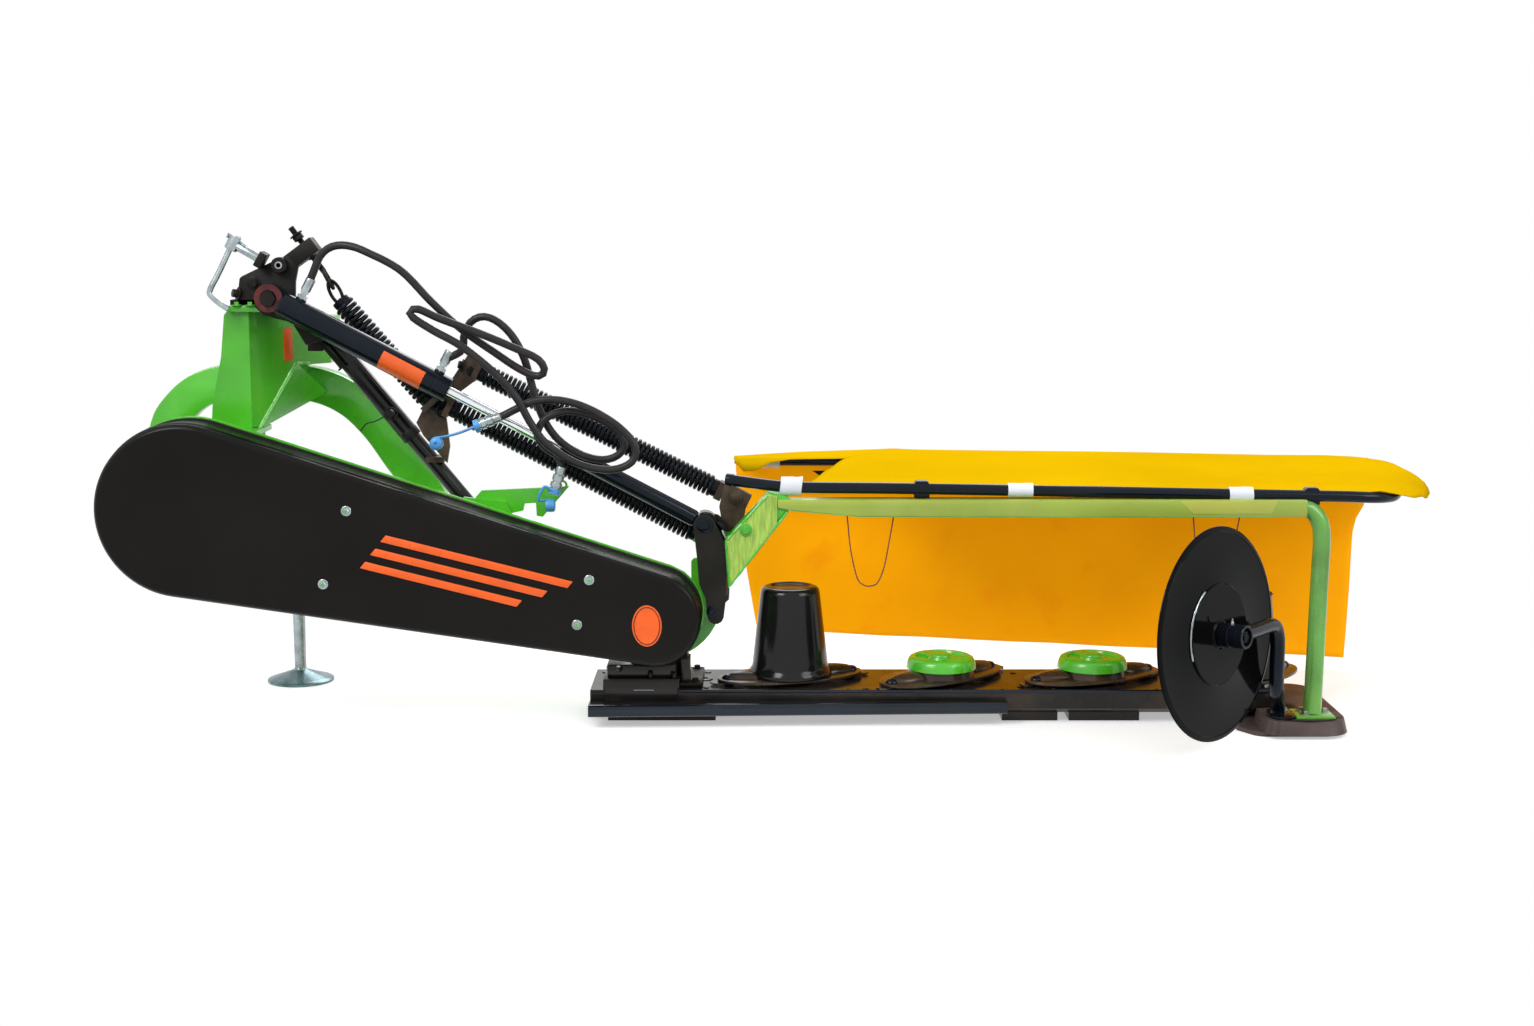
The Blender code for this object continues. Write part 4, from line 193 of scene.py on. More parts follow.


# A bluish specular tint for black parts: a painted reflection colour, standing in for cool light in
# their highlights.
PAINTED_BLUE_REFLECTION = (0.72, 0.85, 1.0)
M = {"green": finish("green", (0.075, 0.47, 0.020), 0.26, vary=0.10, scale=5.0, bump=0.05, fine=260.0,
    coat=0.3, dirt_and_reflection=(0.16, 0.52, 0.04), dirt_and_reflection_at=0.57, wear=(0.10, 0.13, 0.05)),
    "arm": finish("arm_green", (0.36, 0.56, 0.085), 0.42, vary=0.16, scale=16.0, bump=0.10, fine=40.0,
    stretch=(9.0, 1.0, 1.2), dirt_and_reflection=(0.11, 0.46, 0.035), dirt_and_reflection_at=0.55, coat=0.2),
    "beam": finish("beam_green", (0.36, 0.47, 0.066), 0.36, scale=3.0, bump=0.03, fine=220.0, coat=0.15,
    dirt_and_reflection=(0.42, 0.50, 0.10), dirt_and_reflection_at=0.56), "leg": finish("leg_green", (0.12, 0.36, 0.050), 0.24,
    vary=0.16, scale=6.0, bump=0.05, fine=220.0, coat=0.3, dirt_and_reflection=(0.16, 0.40, 0.05), dirt_and_reflection_at=0.57),
    "panel": finish("panel_green", (0.52, 0.56, 0.10), vary=0.05, scale=4.0),
    "weld": finish("weld_bead", (0.30, 0.66, 0.22), 0.35, vary=0.2, scale=80.0, bump=0.5, fine=160.0),
    "black": finish("black_gloss", (0.0065, 0.0065, 0.0068), 0.16, vary=0.12, scale=5.0, fine=320.0,
    rough_vary=0.04, specular=0.28), "barrel": finish("black_blue", (0.0050, 0.0062, 0.0105), 0.17,
    vary=0.14, scale=5.0, fine=320.0, rough_vary=0.05, specular=0.24, painted_reflection_tint=PAINTED_BLUE_REFLECTION),
    "cover": finish("cover_black", (0.0075, 0.0068, 0.0060), 0.24, vary=0.12, scale=3.0, bump=0.012,
    fine=180.0, rough_vary=0.04, specular=0.12), "mirror": finish("black_mirror",
    (0.0040, 0.0038, 0.0036), 0.05, vary=0.10, scale=4.0, bump=0.008, fine=60.0, rough_vary=0.02,
    specular=0.055, painted_reflection_tint=(0.8, 0.9, 1.0)), "satin": finish("black_satin", (0.0105, 0.0095, 0.0088),
    0.46, vary=0.20, scale=12.0, bump=0.07, fine=420.0, dirt_and_reflection=(0.030, 0.024, 0.019), dirt_and_reflection_at=0.56,
    specular=0.16), "link": finish("link_black", (0.019, 0.0165, 0.0145), 0.50, vary=0.16, scale=10.0,
    bump=0.08, fine=380.0, dirt_and_reflection=(0.034, 0.029, 0.024), dirt_and_reflection_at=0.55, specular=0.16),
    # The brown patches of bar_black are painted reflection: they stand in for brown reflections in the
    # bar's black paint.
    "bar": finish("bar_black", (0.012, 0.0100, 0.0085), 0.20, vary=0.25, scale=6.0, bump=0.05,
    fine=300.0, dirt_and_reflection=(0.050, 0.030, 0.018), dirt_and_reflection_at=0.53, specular=0.30),
    "rail": finish("rail_black", (0.0080, 0.0092, 0.0125), 0.17, vary=0.15, scale=5.0, fine=300.0,
    rough_vary=0.05, specular=0.40, painted_reflection_tint=PAINTED_BLUE_REFLECTION), "brown": finish("brown_plate", (0.060, 0.040, 0.028),
    0.45, metal=0.15, vary=0.28, scale=24.0, bump=0.30, fine=150.0, dirt_and_reflection=(0.13, 0.080, 0.040),
    dirt_and_reflection_at=0.54, specular=0.3), "disc": finish("disc_brown", (0.034, 0.021, 0.0135), 0.24, metal=0.1,
    vary=0.30, scale=10.0, bump=0.05, fine=260.0, dirt_and_reflection=(0.105, 0.055, 0.026), dirt_and_reflection_at=0.50,
    specular=0.35), "shoe": finish("shoe_brown", (0.070, 0.050, 0.045), 0.50, metal=0.1, vary=0.14,
    bump=0.08, fine=300.0, specular=0.3), "zinc": finish("zinc", (0.36, 0.41, 0.425), 0.30, metal=1.0,
    vary=0.14, scale=30.0, bump=0.015, fine=400.0, dirt_and_reflection=(0.27, 0.265, 0.24)),
    "foot": finish("foot_zinc", (0.13, 0.20, 0.22), 0.26, metal=0.75, vary=0.18, scale=24.0, bump=0.05,
    fine=400.0), "chrome": finish("chrome", (0.86, 0.89, 0.93), 0.06, metal=1.0, vary=0.02, scale=8.0,
    bump=0.01, fine=500.0, rough_vary=0.02), "spring": finish("spring_black", (0.0090, 0.0098, 0.0125),
    0.22, vary=0.14, scale=30.0, bump=0.04, fine=500.0, specular=0.10, painted_reflection_tint=(0.75, 0.85, 1.0)),
    "steel": finish("gear_steel", (0.36, 0.36, 0.37), 0.30, metal=1.0, vary=0.14, scale=40.0, bump=0.05,
    fine=600.0, dirt_and_reflection=(0.10, 0.08, 0.06), dirt_and_reflection_at=0.56), "knife": finish("knife_steel",
    (0.045, 0.040, 0.038), 0.24, metal=0.6, vary=0.3, scale=40.0, bump=0.06, fine=500.0),
    "belt": finish("belt_rubber", (0.016, 0.016, 0.016), 0.75, vary=0.15, bump=0.12, fine=700.0),
    "hose": finish("hose_rubber", (0.0145, 0.0135, 0.0140), 0.42, vary=0.16, scale=40.0, bump=0.08,
    dirt_and_reflection=(0.034, 0.020, 0.019), specular=0.30), "white": cloth("white_strap", (0.80, 0.84, 0.92),
    (0.70, 0.72, 0.80), 1200.0, 0.1, 0.5, 0.03), "orange": finish("orange", (0.92, 0.125, 0.010), 0.34,
    vary=0.04, scale=20.0, coat=0.1), "ink": finish("dark_line", (0.10, 0.018, 0.006), vary=0.05,
    bump=0.0), "blue": finish("blue_plastic", (0.085, 0.34, 0.72), 0.38, bump=0.03),
    "red": finish("red_primer", (0.095, 0.015, 0.015), 0.42, vary=0.3, scale=40.0, bump=0.08,
    # The brass-coloured metal finish begun on the next line is a painted highlight: it stands in for
    # light on cone 4's top rim.
    dirt_and_reflection=(0.014, 0.010, 0.010), dirt_and_reflection_at=0.50, specular=0.3), "painted_highlight": finish("painted_rim_highlight",
    (0.32, 0.17, 0.055), 0.30, metal=0.8, vary=0.2, scale=30.0, bump=0.04),
    "wire": finish("brown_wire", (0.17, 0.045, 0.016), 0.5, vary=0.2, scale=80.0, bump=0.1),
    "tarp": cloth("tarp_yellow", (0.66, 0.395, 0.0012), (0.64, 0.34, 0.0012), grime=0.03, specular=0.0),
    # The curtain's glow is painted light, standing in for light that shines through the translucent
    # cloth onto its shaded face.
    "curtain": cloth("curtain_orange", (0.92, 0.37, 0.0008), (0.84, 0.27, 0.0015), rough=0.55,
    grime=0.05, specular=0.08, painted_glow=0.42),}


# Mesh code

def angles(count):
    """Angles in even steps round a circle."""
    return [2 * math.pi * k / count for k in range(count)]


def pin(radius, low, high, chamfer=0.0):
    """The profile of a round pin, with its end edges cut if a chamfer is given."""
    if not chamfer:
        return ((0, low), (radius, low), (radius, high), (0, high))
    return ((0, low), (radius - chamfer, low), (radius, low + chamfer), (radius, high - chamfer),
        (radius - chamfer, high), (0, high))


def link_to_scene(name, data):
    """A new object in the scene."""
    obj = bpy.data.objects.new(name, data)
    bpy.context.scene.collection.objects.link(obj)
    return obj


def soften(obj, width, segments):
    """Round an object's sharp edges by a modifier."""
    bevel = obj.modifiers.new("edges", "BEVEL")
    bevel.width = width
    bevel.segments = segments
    bevel.limit_method = "ANGLE"
    bevel.angle_limit = math.radians(30)


class Shape:
    """A mesh that grows from tubes, turned profiles, plates and bolts."""

    def __init__(self):
        self.bm = bmesh.new()

    def rings(self, rings, closed=False, caps=(True, True)):
        """Faces between rings of as many points each."""
        made = [[self.bm.verts.new(p) for p in ring] for ring in rings]
        count = len(made[0])
        pairs = list(zip(made, made[1:]))
        if closed:
            pairs.append((made[-1], made[0]))
        for low, high in pairs:
            for i in range(count):
                after = (i + 1) % count
                self.bm.faces.new((low[i], low[after], high[after], high[i]))
        if not closed and caps[0]:
            self.bm.faces.new(made[0][::-1])
        if not closed and caps[1]:
            self.bm.faces.new(made[-1])
        return made

    def tube(self, points, radius, sides=12, closed=False):
        """A round tube through points; radius may be one number or one for each point."""
        points = [Vector(p) for p in points]
        count = len(points)
        normal = None
        rings = []
        for i, point in enumerate(points):
            before = points[(i - 1) % count if closed else max(i - 1, 0)]
            after = points[(i + 1) % count if closed else min(i + 1, count - 1)]
            way = (after - before).normalized()
            if normal is None:
                normal = way.orthogonal().normalized()
            normal = (normal - way * normal.dot(way)).normalized()
            side = way.cross(normal)
            r = radius[i] if hasattr(radius, "__len__") else radius
            rings.append([point + (normal * math.cos(a) + side * math.sin(a)) * r
                for a in angles(sides)])
        self.rings(rings, closed)
        return self

    def turned(self, profile, place, direction=(0, 0, 1), steps=32):
        """A profile of (radius, height) turned about an axis; it closes on itself if hollow."""
        spin = Vector(direction).to_track_quat("Z", "Y").to_matrix()
        place = Vector(place)
        hollow = profile[0][0] > 0 and profile[0] == profile[-1]
        rings = []
        for radius, height in profile[:-1] if hollow else profile:
            r = max(radius, 0.00002)
            rings.append([place + spin @ Vector((r * math.cos(a), r * math.sin(a), height))
                for a in angles(steps)])
        self.rings(rings, hollow)
        return self

    def prism(self, outline, axis, low, high, bevel=0.0, segments=2):
        """A flat outline made thick from low to high, its sharp edges rounded by a bevel."""
        order = {"X": lambda a, b, t: (t, a, b), "Y": lambda a, b, t: (a, t, b), "Z": lambda a, b,
            t: (a, b, t)}[axis]
        part = bmesh.new()
        base = [part.verts.new(order(a, b, low)) for a, b in outline]
        top = [part.verts.new(order(a, b, high)) for a, b in outline]
        part.faces.new(base)
        part.faces.new(top[::-1])
        for i in range(len(base)):
            after = (i + 1) % len(base)
            part.faces.new((base[i], top[i], top[after], base[after]))
        return self.take(part, bevel, segments)

    def slab(self, centre, direction, size, bevel=0.0, up=None):
        """A box whose first side runs along a direction; its second is up crossed with it."""
        along = Vector(direction).normalized()
        high = Vector(up) if up else Vector((0, 1, 0)).cross(along) * -1
        high = (high - along * high.dot(along)).normalized()
        across = high.cross(along)
        basis = Matrix((along, across, high)).transposed().to_4x4()
        part = bmesh.new()
        bmesh.ops.create_cube(part, size=1.0)
        part.transform(Matrix.Translation(centre) @ basis @ Matrix.Diagonal((*size, 1.0)))
        return self.take(part, bevel)

    def box(self, x, y, z, bevel=0.0):
        """A box between two limits on each axis."""
        centre = [(a + b) / 2 for a, b in (x, y, z)]
        size = [b - a for a, b in (x, y, z)]
        return self.slab(centre, (1, 0, 0), size, bevel, (0, 0, 1))

    def take(self, part, bevel=0.0, segments=2):
        """Add another bmesh, its sharp edges rounded first."""
        bmesh.ops.recalc_face_normals(part, faces=part.faces)
        if bevel:
            sharp = [e for e in part.edges
                if len(e.link_faces) == 2 and e.calc_face_angle(0) > math.radians(25)]
            bmesh.ops.bevel(part, geom=sharp, offset=bevel, segments=segments, profile=0.5,
                affect="EDGES", clamp_overlap=True)
        mesh = bpy.data.meshes.new("part")
        part.to_mesh(mesh)
        part.free()
        self.bm.from_mesh(mesh)
        bpy.data.meshes.remove(mesh)
        return self

    def bolt(self, place, direction, radius, height):
        """A hexagon head on a washer, with a chamfered crown."""
        self.turned(((0, 0.0), (radius * 1.5, 0.0), (radius * 1.5, 0.0018), (radius * 1.4, 0.0024),
            (0, 0.0024)), place, direction, 20)
        low = 0.0022
        return self.turned(((0, low), (radius, low), (radius, low + height * 0.8),
            (radius * 0.84, low + height), (0, low + height)), place, direction, 6)

    def screw_thread(self, start, end, radius, pitch):
        """A threaded rod: rings that go in and out along it."""
        half_turns = 2 * int((end - start).length / pitch)
        return self.tube([start.lerp(end, i / half_turns) for i in range(half_turns + 1)],
            [radius * (1.0 if i % 2 else 0.86) for i in range(half_turns + 1)], 14)

    def bead(self, points, radius, change, grain):
        """A weld's bead, thicker and thinner by noise."""
        return self.tube(points, [radius + change * noise.noise(p * grain) for p in points], 8)

    def done(self, name, body, material, replaces=(), slot=None, angle=32, solid=None):
        """Make the object, and let it ride on its body."""
        bmesh.ops.recalc_face_normals(self.bm, faces=self.bm.faces)
        mesh = bpy.data.meshes.new(name)
        self.bm.to_mesh(mesh)
        self.bm.free()
        obj = link_to_scene(name, mesh)
        mesh.materials.append(M[material])
        mesh.shade_smooth()
        mesh.set_sharp_from_angle(angle=math.radians(angle))
        if solid:
            modifier = obj.modifiers.new("thickness", "SOLIDIFY")
            modifier.thickness = solid
            modifier.offset = 0.0
        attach(obj, body)
        if replaces:
            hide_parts(*replaces)
        return obj


def arc(centre, radius, start, end, steps):
    """Points along an arc, in degrees."""
    return [(centre[0] + radius * math.cos(math.radians(start + (end - start) * i / steps)),
        centre[1] + radius * math.sin(math.radians(start + (end - start) * i / steps)))
        for i in range(steps + 1)]


def smooth(points, per_span):
    """A Catmull-Rom curve through points."""
    vectors = [Vector(p) for p in points]
    ends = [2 * vectors[0] - vectors[1], *vectors, 2 * vectors[-1] - vectors[-2]]
    result = []
    for i in range(1, len(ends) - 2):
        a, b, c, d = ends[i - 1:i + 3]
        for step in range(per_span):
            t = step / per_span
            result.append(0.5 * (2 * b + (c - a) * t + (2 * a - 5 * b + 4 * c - d) * t * t
                + (3 * b - a - 3 * c + d) * t ** 3))
    result.append(vectors[-1])
    return result


def evenly(points, spacing):
    """Points a steady distance apart along a fine curve."""
    lengths = [0.0]
    for before, after in zip(points, points[1:]):
        lengths.append(lengths[-1] + (after - before).length)
    count = max(2, round(lengths[-1] / spacing))
    result = []
    index = 0
    for step in range(count + 1):
        want = lengths[-1] * step / count
        while index < len(points) - 2 and lengths[index + 1] < want:
            index += 1
        span = lengths[index + 1] - lengths[index]
        share = 0.0 if span == 0 else (want - lengths[index]) / span
        result.append(points[index].lerp(points[index + 1], min(1.0, share)))
    return result


def teardrop(big, small):
    """An outline round the two pulley axes, with its own radius at each."""
    run = HINGE[0] - PULLEY[0]
    rise = HINGE[1] - PULLEY[1]
    lean = math.degrees(math.atan2(rise, run))
    spread = math.degrees(math.acos((big - small) / math.hypot(run, rise)))
    return (arc(PULLEY, big, lean + spread, lean + 360 - spread, 48) + arc(HINGE, small, lean - spread,
        lean + spread, 32))


def at_y(point, y):
    """A point of the XZ plane, at a depth."""
    return Vector((point[0], y, point[1]))


# Camera, light and floor

def stage():
    """The camera at the photograph's angle, soft lamps, and a pale floor."""
    data = bpy.data.cameras.new("camera")
    data.lens = 50.0
    data.sensor_width = 36.0
    camera = link_to_scene("camera", data)
    camera.location = (1.358, -6.068, 1.41)
    camera.rotation_euler = (math.radians(90 - 8.6), 0, 0)
    bpy.context.scene.camera = camera
    for name, place, target, size, power in (("key", (-2.2, -4.2, 4.6), (1.2, -0.3, 0.4), 2.6, 215.0),
            ("fill", (5.4, -3.4, 3.2), (1.6, -0.3, 0.4), 2.4, 90.0), ("back", (1.6, 4.2, 4.2),
            (1.4, 0.0, 0.4), 3.0, 120.0)):
        light = bpy.data.lights.new(name, "AREA")
        light.size = size
        light.energy = power
        obj = link_to_scene(name, light)
        obj.location = place
        obj.rotation_euler = (Vector(target) - Vector(place)).to_track_quat("-Z", "Y").to_euler()
    world = bpy.data.worlds.new("studio")
    world.use_nodes = True
    bpy.context.scene.world = world
    tree = world.node_tree
    background = tree.nodes["Background"]
    way = node(tree, "SeparateXYZ")
    links(tree, (node(tree, "TexCoord").outputs["Generated"], way.inputs[0]))
    sky = ramp(tree, way.outputs["Z"], ((0.0, 0.55), (0.10, 0.62), (0.50, 0.88)))
    links(tree, (mixed(tree, seen_or_mirrored(tree), sky, (1.0, 1.0, 1.0)), background.inputs["Color"]))
    background.inputs["Strength"].default_value = 1.0
    floor_disc()
    bpy.context.scene.view_settings.view_transform = "Standard"


def math_node(tree, operation, *values):
    """The result of a maths operation on sockets or numbers."""
    made = node(tree, "Math")
    made.operation = operation
    for socket, value in zip(made.inputs, values):
        if isinstance(value, float):
            socket.default_value = value
        else:
            links(tree, (value, socket))
    return made.outputs[0]


def seen_or_mirrored(tree):
    """1 for rays from the camera, off a shiny surface or through glass, else 0."""
    path = node(tree, "LightPath")
    total = path.outputs["Is Camera Ray"]
    for name in ("Is Glossy Ray", "Is Transmission Ray"):
        total = math_node(tree, "MAXIMUM", total, path.outputs[name])
    return total


def floor_disc():
    """A pale floor that keeps the machine's shadow and turns white further out."""
    bm = bmesh.new()
    bmesh.ops.create_circle(bm, cap_ends=True, segments=64, radius=60.0)
    bm.transform(Matrix.Translation((1.3, 0, -0.0005)))
    mesh = bpy.data.meshes.new("floor")
    bm.to_mesh(mesh)
    bm.free()
    floor = link_to_scene("floor", mesh)
    paint = bpy.data.materials.new("floor")
    paint.use_nodes = True
    tree = paint.node_tree
    shader = tree.nodes["Principled BSDF"]
    for socket, value in (("Base Color", (0.80, 0.80, 0.80, 1.0)), ("Roughness", 0.9),
            ("Specular IOR Level", 0.0), ("Emission Color", (1.0, 1.0, 1.0, 1.0))):
        shader.inputs[socket].default_value = value
    seen = seen_or_mirrored(tree)
    white = node(tree, "Emission")
    length = node(tree, "VectorMath")
    length.operation = "LENGTH"
    shift = node(tree, "Mapping", Location=(-0.43, 0.24, 0.0), Scale=(0.33, 0.8, 1.0))
    links(tree, (math_node(tree, "MULTIPLY", seen, 0.42), shader.inputs["Emission Strength"]),
        (seen, white.inputs["Strength"]), (object_place(tree), shift.inputs["Vector"]),
        (shift.outputs["Vector"], length.inputs[0]))
    far = ramp(tree, length.outputs["Value"], ((0.55, 0.0), (1.0, 1.0)))
    mix = node(tree, "MixShader")
    links(tree, (far, mix.inputs[0]), (shader.outputs[0], mix.inputs[1]),
        (white.outputs[0], mix.inputs[2]),
        (mix.outputs[0], tree.nodes["Material Output"].inputs["Surface"]))
    mesh.materials.append(paint)


stage()


# Hoses, cords first

HOSES = {"hose_1": [(0.139, -0.380, 1.222), (0.156, -0.383, 1.200), (0.171, -0.386, 1.234),
    (0.192, -0.390, 1.256), (0.220, -0.396, 1.267), (0.256, -0.402, 1.266), (0.300, -0.409, 1.251),
    (0.391, -0.417, 1.203), (0.470, -0.423, 1.122), (0.548, -0.427, 1.050), (0.640, -0.430, 0.985),
    (0.700, -0.433, 0.945), (0.748, -0.438, 0.925), (0.770, -0.444, 0.940), (0.752, -0.450, 0.972),
    (0.690, -0.456, 1.002), (0.600, -0.460, 1.040), (0.500, -0.463, 1.078), (0.440, -0.466, 1.104),
    (0.424, -0.472, 1.088), (0.480, -0.478, 1.050), (0.560, -0.482, 1.005), (0.650, -0.484, 0.930),
    (0.700, -0.484, 0.870), (0.735, -0.482, 0.805), (0.775, -0.480, 0.750), (0.840, -0.479, 0.705),
    (0.900, -0.478, 0.684), (0.960, -0.477, 0.682), (1.004, -0.475, 0.705), (1.006, -0.472, 0.748),
    (0.960, -0.468, 0.798), (0.890, -0.464, 0.840), (0.820, -0.460, 0.862), (0.750, -0.458, 0.862),
    (0.700, -0.460, 0.842), (0.660, -0.463, 0.822), (0.634, -0.466, 0.812)],
    "hose_2": [(0.536, -0.380, 0.956), (0.545, -0.385, 0.990), (0.552, -0.392, 1.030),
    (0.572, -0.397, 1.066), (0.606, -0.400, 1.080), (0.644, -0.403, 1.066), (0.683, -0.406, 1.027),
    (0.714, -0.409, 0.966), (0.738, -0.412, 0.878), (0.762, -0.416, 0.810), (0.800, -0.420, 0.755),
    (0.856, -0.422, 0.716), (0.915, -0.423, 0.700), (0.960, -0.424, 0.712), (0.978, -0.424, 0.745),
    (0.948, -0.425, 0.788), (0.890, -0.428, 0.820), (0.825, -0.435, 0.832), (0.770, -0.442, 0.812),
    (0.748, -0.446, 0.770), (0.770, -0.450, 0.735), (0.800, -0.453, 0.716), (0.812, -0.456, 0.690),
    (0.806, -0.458, 0.664)],}
HOSE_R = 0.0105
PORTS = {"hose_1": 0.075, "hose_2": 0.487}


def lift_at(along, rise=0.0):
    """A point along the cylinder's axis, raised square to it."""
    return at_y(Vector(LIFT_TOP) + LIFT_WAY * along + LIFT_ABOVE * rise, CYLINDER_Y)


def hose(name, cap_at, strap_bend):
    """A hydraulic hose with its crimped ferrule, its coupler and its blue dust cap."""
    start = lift_at(PORTS[name], 0.0623)
    second = lift_at(PORTS[name], 0.0623 + HOSE_R)
    fine = smooth([second, *HOSES[name][1:]], 12)
    points = [start, *evenly(fine, 1.4 * HOSE_R)]
    tube = Shape().tube(points, HOSE_R, 14).done(name + "_tube", "barrel", "hose", replaces=(name,),
        slot="hose_rubber")
    up = at_y(LIFT_ABOVE, 0.0)
    root = lift_at(PORTS[name], 0.030)
    metal = Shape().turned(((0, 0), (0.0085, 0.0), (0.0085, 0.006), (0.0145, 0.0065), (0.0145, 0.018),
        (0.0085, 0.019), (0.0085, 0.024), (0.0120, 0.0245), (0.0120, 0.034), (0, 0.034)), root, up, 6)
    metal.turned(((0, 0.032), (0.0128, 0.032), (0.0134, 0.038), (0.0128, 0.044), (0.0134, 0.050),
        (0.0128, 0.056), (0.0134, 0.062), (0.0118, 0.068), (0, 0.068)), root, up, 20)
    tip = points[-1]
    out = (tip - points[-2]).normalized()
    metal.turned(((0, -0.022), (0.0122, -0.022), (0.0132, -0.016), (0.0124, -0.010), (0.0132, -0.004),
        (0.0118, 0.000), (0.0155, 0.001), (0.0155, 0.016), (0.0120, 0.017), (0.0120, 0.021),
        (0.0160, 0.022), (0.0160, 0.033), (0.0130, 0.034), (0.0130, 0.052), (0.0110, 0.054),
        (0, 0.054)), tip, out, 22)
    fitting = metal.done(name + "_fittings", "barrel", "zinc", slot="zinc")
    ring = tip + out * 0.044
    blue = Shape().turned(((0.0132, -0.006), (0.0165, -0.006), (0.0165, 0.008), (0.0132, 0.008),
        (0.0132, -0.006)), ring, out, 22)
    cap = Vector(cap_at)
    blue.tube(smooth([ring + Vector((0, -0.014, 0)), *strap_bend, cap + Vector((0, 0, 0.014))], 8),
        0.0036, 8)
    blue.turned(((0.011, 0.0), (0.017, 0.0), (0.018, 0.004), (0.0175, 0.020), (0.014, 0.024),
        (0.005, 0.0245), (0.005, 0.021), (0, 0.021)), cap, FRONT if name == "hose_1" else (1, 0, 0), 24)
    blue.done(name + "_dust_cap", "barrel", "blue", angle=50)


hose("hose_1", (0.482, -0.447, 0.748), [(0.545, -0.475, 0.778), (0.508, -0.470, 0.768)])
hose("hose_2", (0.770, -0.458, 0.582), [(0.768, -0.480, 0.635), (0.752, -0.478, 0.600)])


# Springs

def coil(name, start, end, curls, body, stands_for, keep=None, wire=0.0052):
    """A close-wound tension spring with a plug at each end."""
    start = at_y(start, SPRING_Y)
    end = at_y(end, SPRING_Y)
    axis = (end - start).normalized()
    side = Vector((0, 1, 0))
    up = axis.cross(side)
    radius = 0.0249
    margin = 0.014
    points = [start - axis * 0.004, start + axis * 0.006]
    per_turn = 16
    first = start + axis * margin
    length = (end - start).length - 2 * margin
    for i in range(curls * per_turn + 1):
        angle = 2 * math.pi * i / per_turn
        spread = (side * math.cos(angle) + up * math.sin(angle)) * radius
        points.append(first + axis * (length * i / (curls * per_turn)) + spread)
    points += [end - axis * 0.006, end + axis * 0.004]
    shape = Shape().tube(points, wire, 8)
    for place, way in ((start, axis), (end, -axis)):
        shape.turned(((0, -0.001), (0.0235, -0.001), (0.0245, 0.003), (0.0245, 0.014), (0.021, 0.019),
            (0, 0.019)), place, way, 24)
    made = shape.done(name, body, "spring", replaces=(stands_for,), slot="spring_steel", angle=60)
    if keep:
        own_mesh(made)


coil("upper_coil", (0.580, 0.924), (1.221, 0.604), 53, "upper_balance_spring", "upper_spring", 0.906)
coil("lower_coil", (0.502, 0.826), (1.164, 0.482), 54, "lower_balance_spring", "lower_spring", 0.99)
coil("short_coil", (0.205, 1.118), (0.440, 0.846), 22, "swing_frame", "short_spring", wire=0.0062)


# Hydraulic cylinder, from its pivot on the bracket to the eye in the link

def cylinder():
    """The glossy barrel with its band, the chrome rod, the black tube with its eye, the strap."""
    way = at_y(LIFT_WAY, 0.0)
    up = at_y(LIFT_ABOVE, 0.0)
    barrel = Shape().turned(((0, 0.030), (0.030, 0.030), (0.034, 0.036), (0.034, 0.486),
        (0.0333, 0.487), (0.0333, 0.4895), (0.034, 0.4905), (0.034, 0.529), (0.0315, 0.532),
        (0, 0.532)), lift_at(0), way, 48)
    barrel.turned(pin(0.038, -0.022, 0.022, 0.002), lift_at(0), (0, 1, 0), 44)
    for port in PORTS.values():
        barrel.turned(((0, 0.020), (0.0145, 0.020), (0.0145, 0.037), (0.0125, 0.040), (0.0125, 0.047),
            (0, 0.047)), lift_at(port), up, 24)
    barrel.done("barrel_tube", "barrel", "barrel", replaces=("cylinder_barrel",), slot="black_paint")
    Shape().turned(((0.0215, 0.0215), (0.0365, 0.0215), (0.0375, 0.0223), (0.0365, 0.0232),
        (0.0225, 0.0232), (0.0215, 0.0215)), lift_at(0), FRONT, 44).done("pivot_ring", "barrel", "red")
    rings = []
    for i in range(15):
        angle = math.radians(36 - 126 * i / 14)
        out = Vector((0, -math.cos(angle), 0)) + up * math.sin(angle)
        rings.append([lift_at(s) + out * r for s, r in ((0.334, 0.0336), (0.334, 0.0345),
            (0.458, 0.0345), (0.458, 0.0336))])
    band = Shape()
    band.rings(rings)
    band.done("barrel_band", "barrel", "orange")
    Shape().turned(pin(0.0135, 0.50, 0.873), lift_at(0), way, 36).done("rod_chrome", "rod", "chrome",
        replaces=("lift_rod",))
    tube = Shape().turned(((0, 0.867), (0.0205, 0.867), (0.0225, 0.869), (0.0225, 1.268),
        (0.020, 1.276), (0, 1.276)), lift_at(0), way, 40)
    tube.turned(pin(0.030, -0.0225, 0.0225, 0.001), at_y(LIFT_EYE, CYLINDER_Y), (0, 1, 0), 36)
    tube.done("rod_tube", "rod", "barrel", slot="black_paint")
    lean = math.degrees(math.atan2(LIFT_ABOVE[1], LIFT_ABOVE[0]))
    strap = arc(LIFT_EYE, 0.0345, lean + 52, lean - 52, 20)
    strap += [(1.237, 0.527), (1.249, 0.511), (1.244, 0.506), (1.231, 0.519)]
    strap += arc(LIFT_EYE, 0.0308, lean - 50, lean + 52, 20)
    Shape().prism(strap, "Y", -0.4122, -0.3480, 0.001).done("eye_strap", "cutter_bar", "barrel",
        angle=40)
    Shape().slab((1.2435, -0.408, 0.494), (0.40, 0, -0.92), (0.030, 0.010, 0.007), 0.002,
        (0.92, 0, 0.40)).done("strap_tip", "cutter_bar", "zinc")


cylinder()


# Headstock and swing bracket

